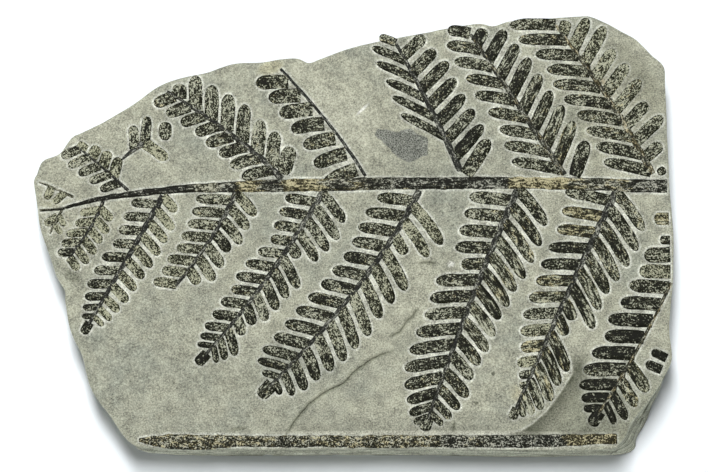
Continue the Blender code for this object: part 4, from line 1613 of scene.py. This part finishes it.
CRACKS = (
    Crack(
        ((-20.8, -64.1), (-18.3, -60.0), (-15.5, -56.2), (-9.4, -50.9), (-2.7, -47.9), (-0.2, -44.7),
         (6.1, -40.0), (12.3, -37.8)),
        0.26, 0.35,
    ),
    Crack(((11.4, -33.3), (14.5, -32.0), (16.4, -28.9), (20.2, -24.7)), 0.22, 0.25),
    Crack(((20.8, -10.3), (23.4, -9.9), (25.5, -10.2)), 0.18, 0.2),
    Crack(((31.1, -60.6), (30.8, -62.8)), 0.2, 0.3),
)

STAINS = (
    Stain((-30.0, -44.0), (46.0, 17.0), 0, "8E9182", 0.35, 1.0),
    Stain((76.0, -56.0), (34.0, 17.0), 18, "80836F", 0.6, 1.0),
    Stain((72.0, -63.0), (28.0, 7.0), 8, "7A7D6C", 0.5, 1.0),
    # Painted shade on the low ground just east of the step's edge.
    Stain((70.5, -47.0), (4.0, 13.0), -10, "787B6A", 0.5, 1.0),
    Stain((16.0, -62.0), (80.0, 7.0), 0, "8D8F80", 0.5, 1.0),
    Stain((-24.0, -41.0), (16.0, 9.0), 20, "85897B", 0.45, 1.0),
    Stain((18.0, -36.0), (10.0, 8.0), 0, "85897B", 0.4, 1.0),
    Stain((24.0, 25.0), (30.0, 22.0), 10, "959786", 0.4, 1.0),
    Stain((78.0, 40.0), (32.0, 26.0), -40, "98977E", 0.5, 1.0),
    Stain((78.3, 47.9), (6.4, 1.3), -57, "A79B77", 0.6, 0.8, 0.5),
    Stain((-26.1, 52.2), (5.2, 3.2), 30, "BDB998", 0.55),
    Stain((30.5, -10.5), (1.5, 1.3), 0, "E4E5DB", 0.9, 0.8, 0.5),
    Stain((-94.4, 9.3), (5.4, 4.2), -30, "9D9B80", 0.7, 0.8, 0.5, 0.8),
    Stain((-91.0, 1.0), (7.0, 6.0), 30, "A09E84", 0.5, 0.9, 0.5, 0.8),
    Stain((-80.0, 3.0), (7.0, 9.0), 0, "A3A189", 0.45, 0.9, 0.5, 0.8),
    Stain((-80.0, 2.0), (20.0, 26.0), 0, "A2A290", 0.3, 1.0),
    Stain((2.8, 38.7), (3.6, 0.65), 44, "E2E3DA", 0.9, 0.7, 0.5),
    Stain((-87.8, -14.4), (3.6, 2.2), -40, "80836F", 0.5),
    Stain((43.4, -45.0), (0.8, 0.8), 0, "4A4C3E", 0.8),
    Stain((38.1, -54.2), (1.0, 0.7), 0, "555746", 0.7),
    Stain((-35.6, -62.2), (3.6, 0.8), 8, "666855", 0.55),
    Stain((98.9, 33.9), (0.9, 1.3), 0, "4A4C3E", 0.7),
    Stain((88.0, 50.0), (17.0, 9.0), -52, "6F7160", 0.6, 0.8, 0.35, 0.45),
    Stain((98.0, 9.9), (1.6, 2.2), 0, "85877B", 0.6),
    Stain((54.0, -64.0), (7.0, 1.6), 12, "7B7E6B", 0.6),
    Stain((20.0, -63.4), (60.0, 0.8), 0, "CFCFBD", 0.55, 0.4, 0.4),
    Stain((2.0, -69.0), (72.0, 1.3), 0, "6C6F55", 0.8, 0.9, 0.5, 0.5),
    Stain((51.5, -51.5), (3.6, 4.6), 40, "C9C3A0", 0.55, 0.9, 0.5),
    Stain((86.0, -65.5), (10.0, 5.0), 30, "74775F", 0.5, 0.9, 0.4, 0.6),
)



class Studio:
    """The camera, the pale floor and the soft lights round the plate."""

    AIM = (0.16, -1.6, 18.0)
    ELEVATION = 80.0
    DISTANCE = 1200.0
    LENS = 195.3
    KEY = 32.5
    KEY_RISE = 74.5
    KEY_SWING = 13.0  # how far the broad light stands to the left of straight behind
    FILLS = (("front_fill", 0, 19.0), ("right_fill", 90, 8.0), ("back_fill", 180, 8.0), ("left_fill", 270, 13.0))
    FILL_RISE = 4.0
    GLOW = 0.03

    def camera(self) -> None:
        """Add the camera, which looks down on the face from just in front of it."""
        turn = math.radians(self.ELEVATION)
        x, y, z = self.AIM
        place = (x, y - self.DISTANCE * math.cos(turn), z + self.DISTANCE * math.sin(turn))
        bpy.ops.object.camera_add(
            location=[part * MM for part in place], rotation=(math.radians(90) - turn, 0, 0))
        camera = bpy.context.object
        camera.name = "camera"
        camera.data.lens = self.LENS
        bpy.context.scene.camera = camera

    def floor(self) -> None:
        """Add the floor that the plate lies on."""
        bpy.ops.mesh.primitive_plane_add(size=2.6, location=(0, 0, -0.0002))
        floor = bpy.context.object
        floor.name = "studio_floor"
        material, _, shader = new_material("studio floor, matt white")
        shader.inputs["Base Color"].default_value = linear("F1F6FA")
        shader.inputs["Roughness"].default_value = 1.0
        shader.inputs["Specular IOR Level"].default_value = 0.0
        floor.data.materials.append(material)

    def lights(self) -> None:
        """Add a broad light over the plate, low fills on its four sides and an even glow all round."""
        turn, swing = math.radians(self.KEY_RISE), math.radians(self.KEY_SWING)
        bpy.ops.object.light_add(
            type="AREA",
            location=(-1.7 * math.cos(turn) * math.sin(swing), 1.7 * math.cos(turn) * math.cos(swing),
                      1.7 * math.sin(turn)),
            rotation=(turn - math.radians(90), 0, swing))
        lamp = bpy.context.object
        lamp.name = "soft_box"
        lamp.data.shape = "RECTANGLE"
        lamp.data.size, lamp.data.size_y = 0.3, 0.8
        lamp.data.energy = self.KEY
        turn = math.radians(self.FILL_RISE)
        for name, side, energy in self.FILLS:
            around = math.radians(side)
            bpy.ops.object.light_add(
                type="AREA", rotation=(math.radians(90) - turn, 0, around),
                location=(1.6 * math.cos(turn) * math.sin(around), -1.6 * math.cos(turn) * math.cos(around),
                          1.6 * math.sin(turn)))
            fill = bpy.context.object
            fill.name = name
            fill.data.size = 0.5
            fill.data.energy = energy
        world = bpy.data.worlds.new("studio glow")
        bpy.context.scene.world = world
        world.use_nodes = True
        world.node_tree.nodes["Background"].inputs["Color"].default_value = linear("FFFFFF")
        # The camera sees plain white beyond the floor; the plate is lit only by the faint glow.
        seen = add(world.node_tree, "ShaderNodeLightPath").outputs["Is Camera Ray"]
        glow = add(world.node_tree, "ShaderNodeMath", {0: seen, 1: 1 - self.GLOW, 2: self.GLOW}, {"operation": "MULTIPLY_ADD"})
        world.node_tree.links.new(glow.outputs[0], world.node_tree.nodes["Background"].inputs["Strength"])
        bpy.context.scene.view_settings.view_transform = "Standard"

    def build(self) -> None:
        """Set up the studio."""
        self.camera()
        self.floor()
        self.lights()


def main() -> None:
    """Dress the plate piece by piece and set it in the studio."""
    logging.basicConfig(level=logging.INFO, format="%(message)s")
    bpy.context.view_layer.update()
    bedding = Bedding(LEDGES)
    plants = [outline for pinna in PINNAE for outline in pinna.outlines()]
    plants += [loose.pinnule.outline() for loose in LOOSE_PINNULES]
    plants += [stem.outline() for stem in STEMS]
    slab = Slab(bedding, CRACKS, plants).build(split_shale(STAINS))
    LOG.info("%s: %d faces", slab.name, len(slab.data.polygons))
    for stem in STEMS:
        made = stem.press(bedding)
        made.name = "visual_" + stem.name
        made.data.name = made.name
        made.data.materials.append(Film.STEM.material())
        shade(made, 60)
        claim(made, stem.name)
        LOG.info("%s: %d faces", made.name, len(made.data.polygons))
    mould = PinnuleMould()
    for plant in (*PINNAE, *LOOSE_PINNULES):
        made = plant.build(mould, bedding)
        LOG.info("%s: %d faces", made.name, len(made.data.polygons))
    mould.discard()
    Studio().build()


if __name__ == "__main__":
    main()
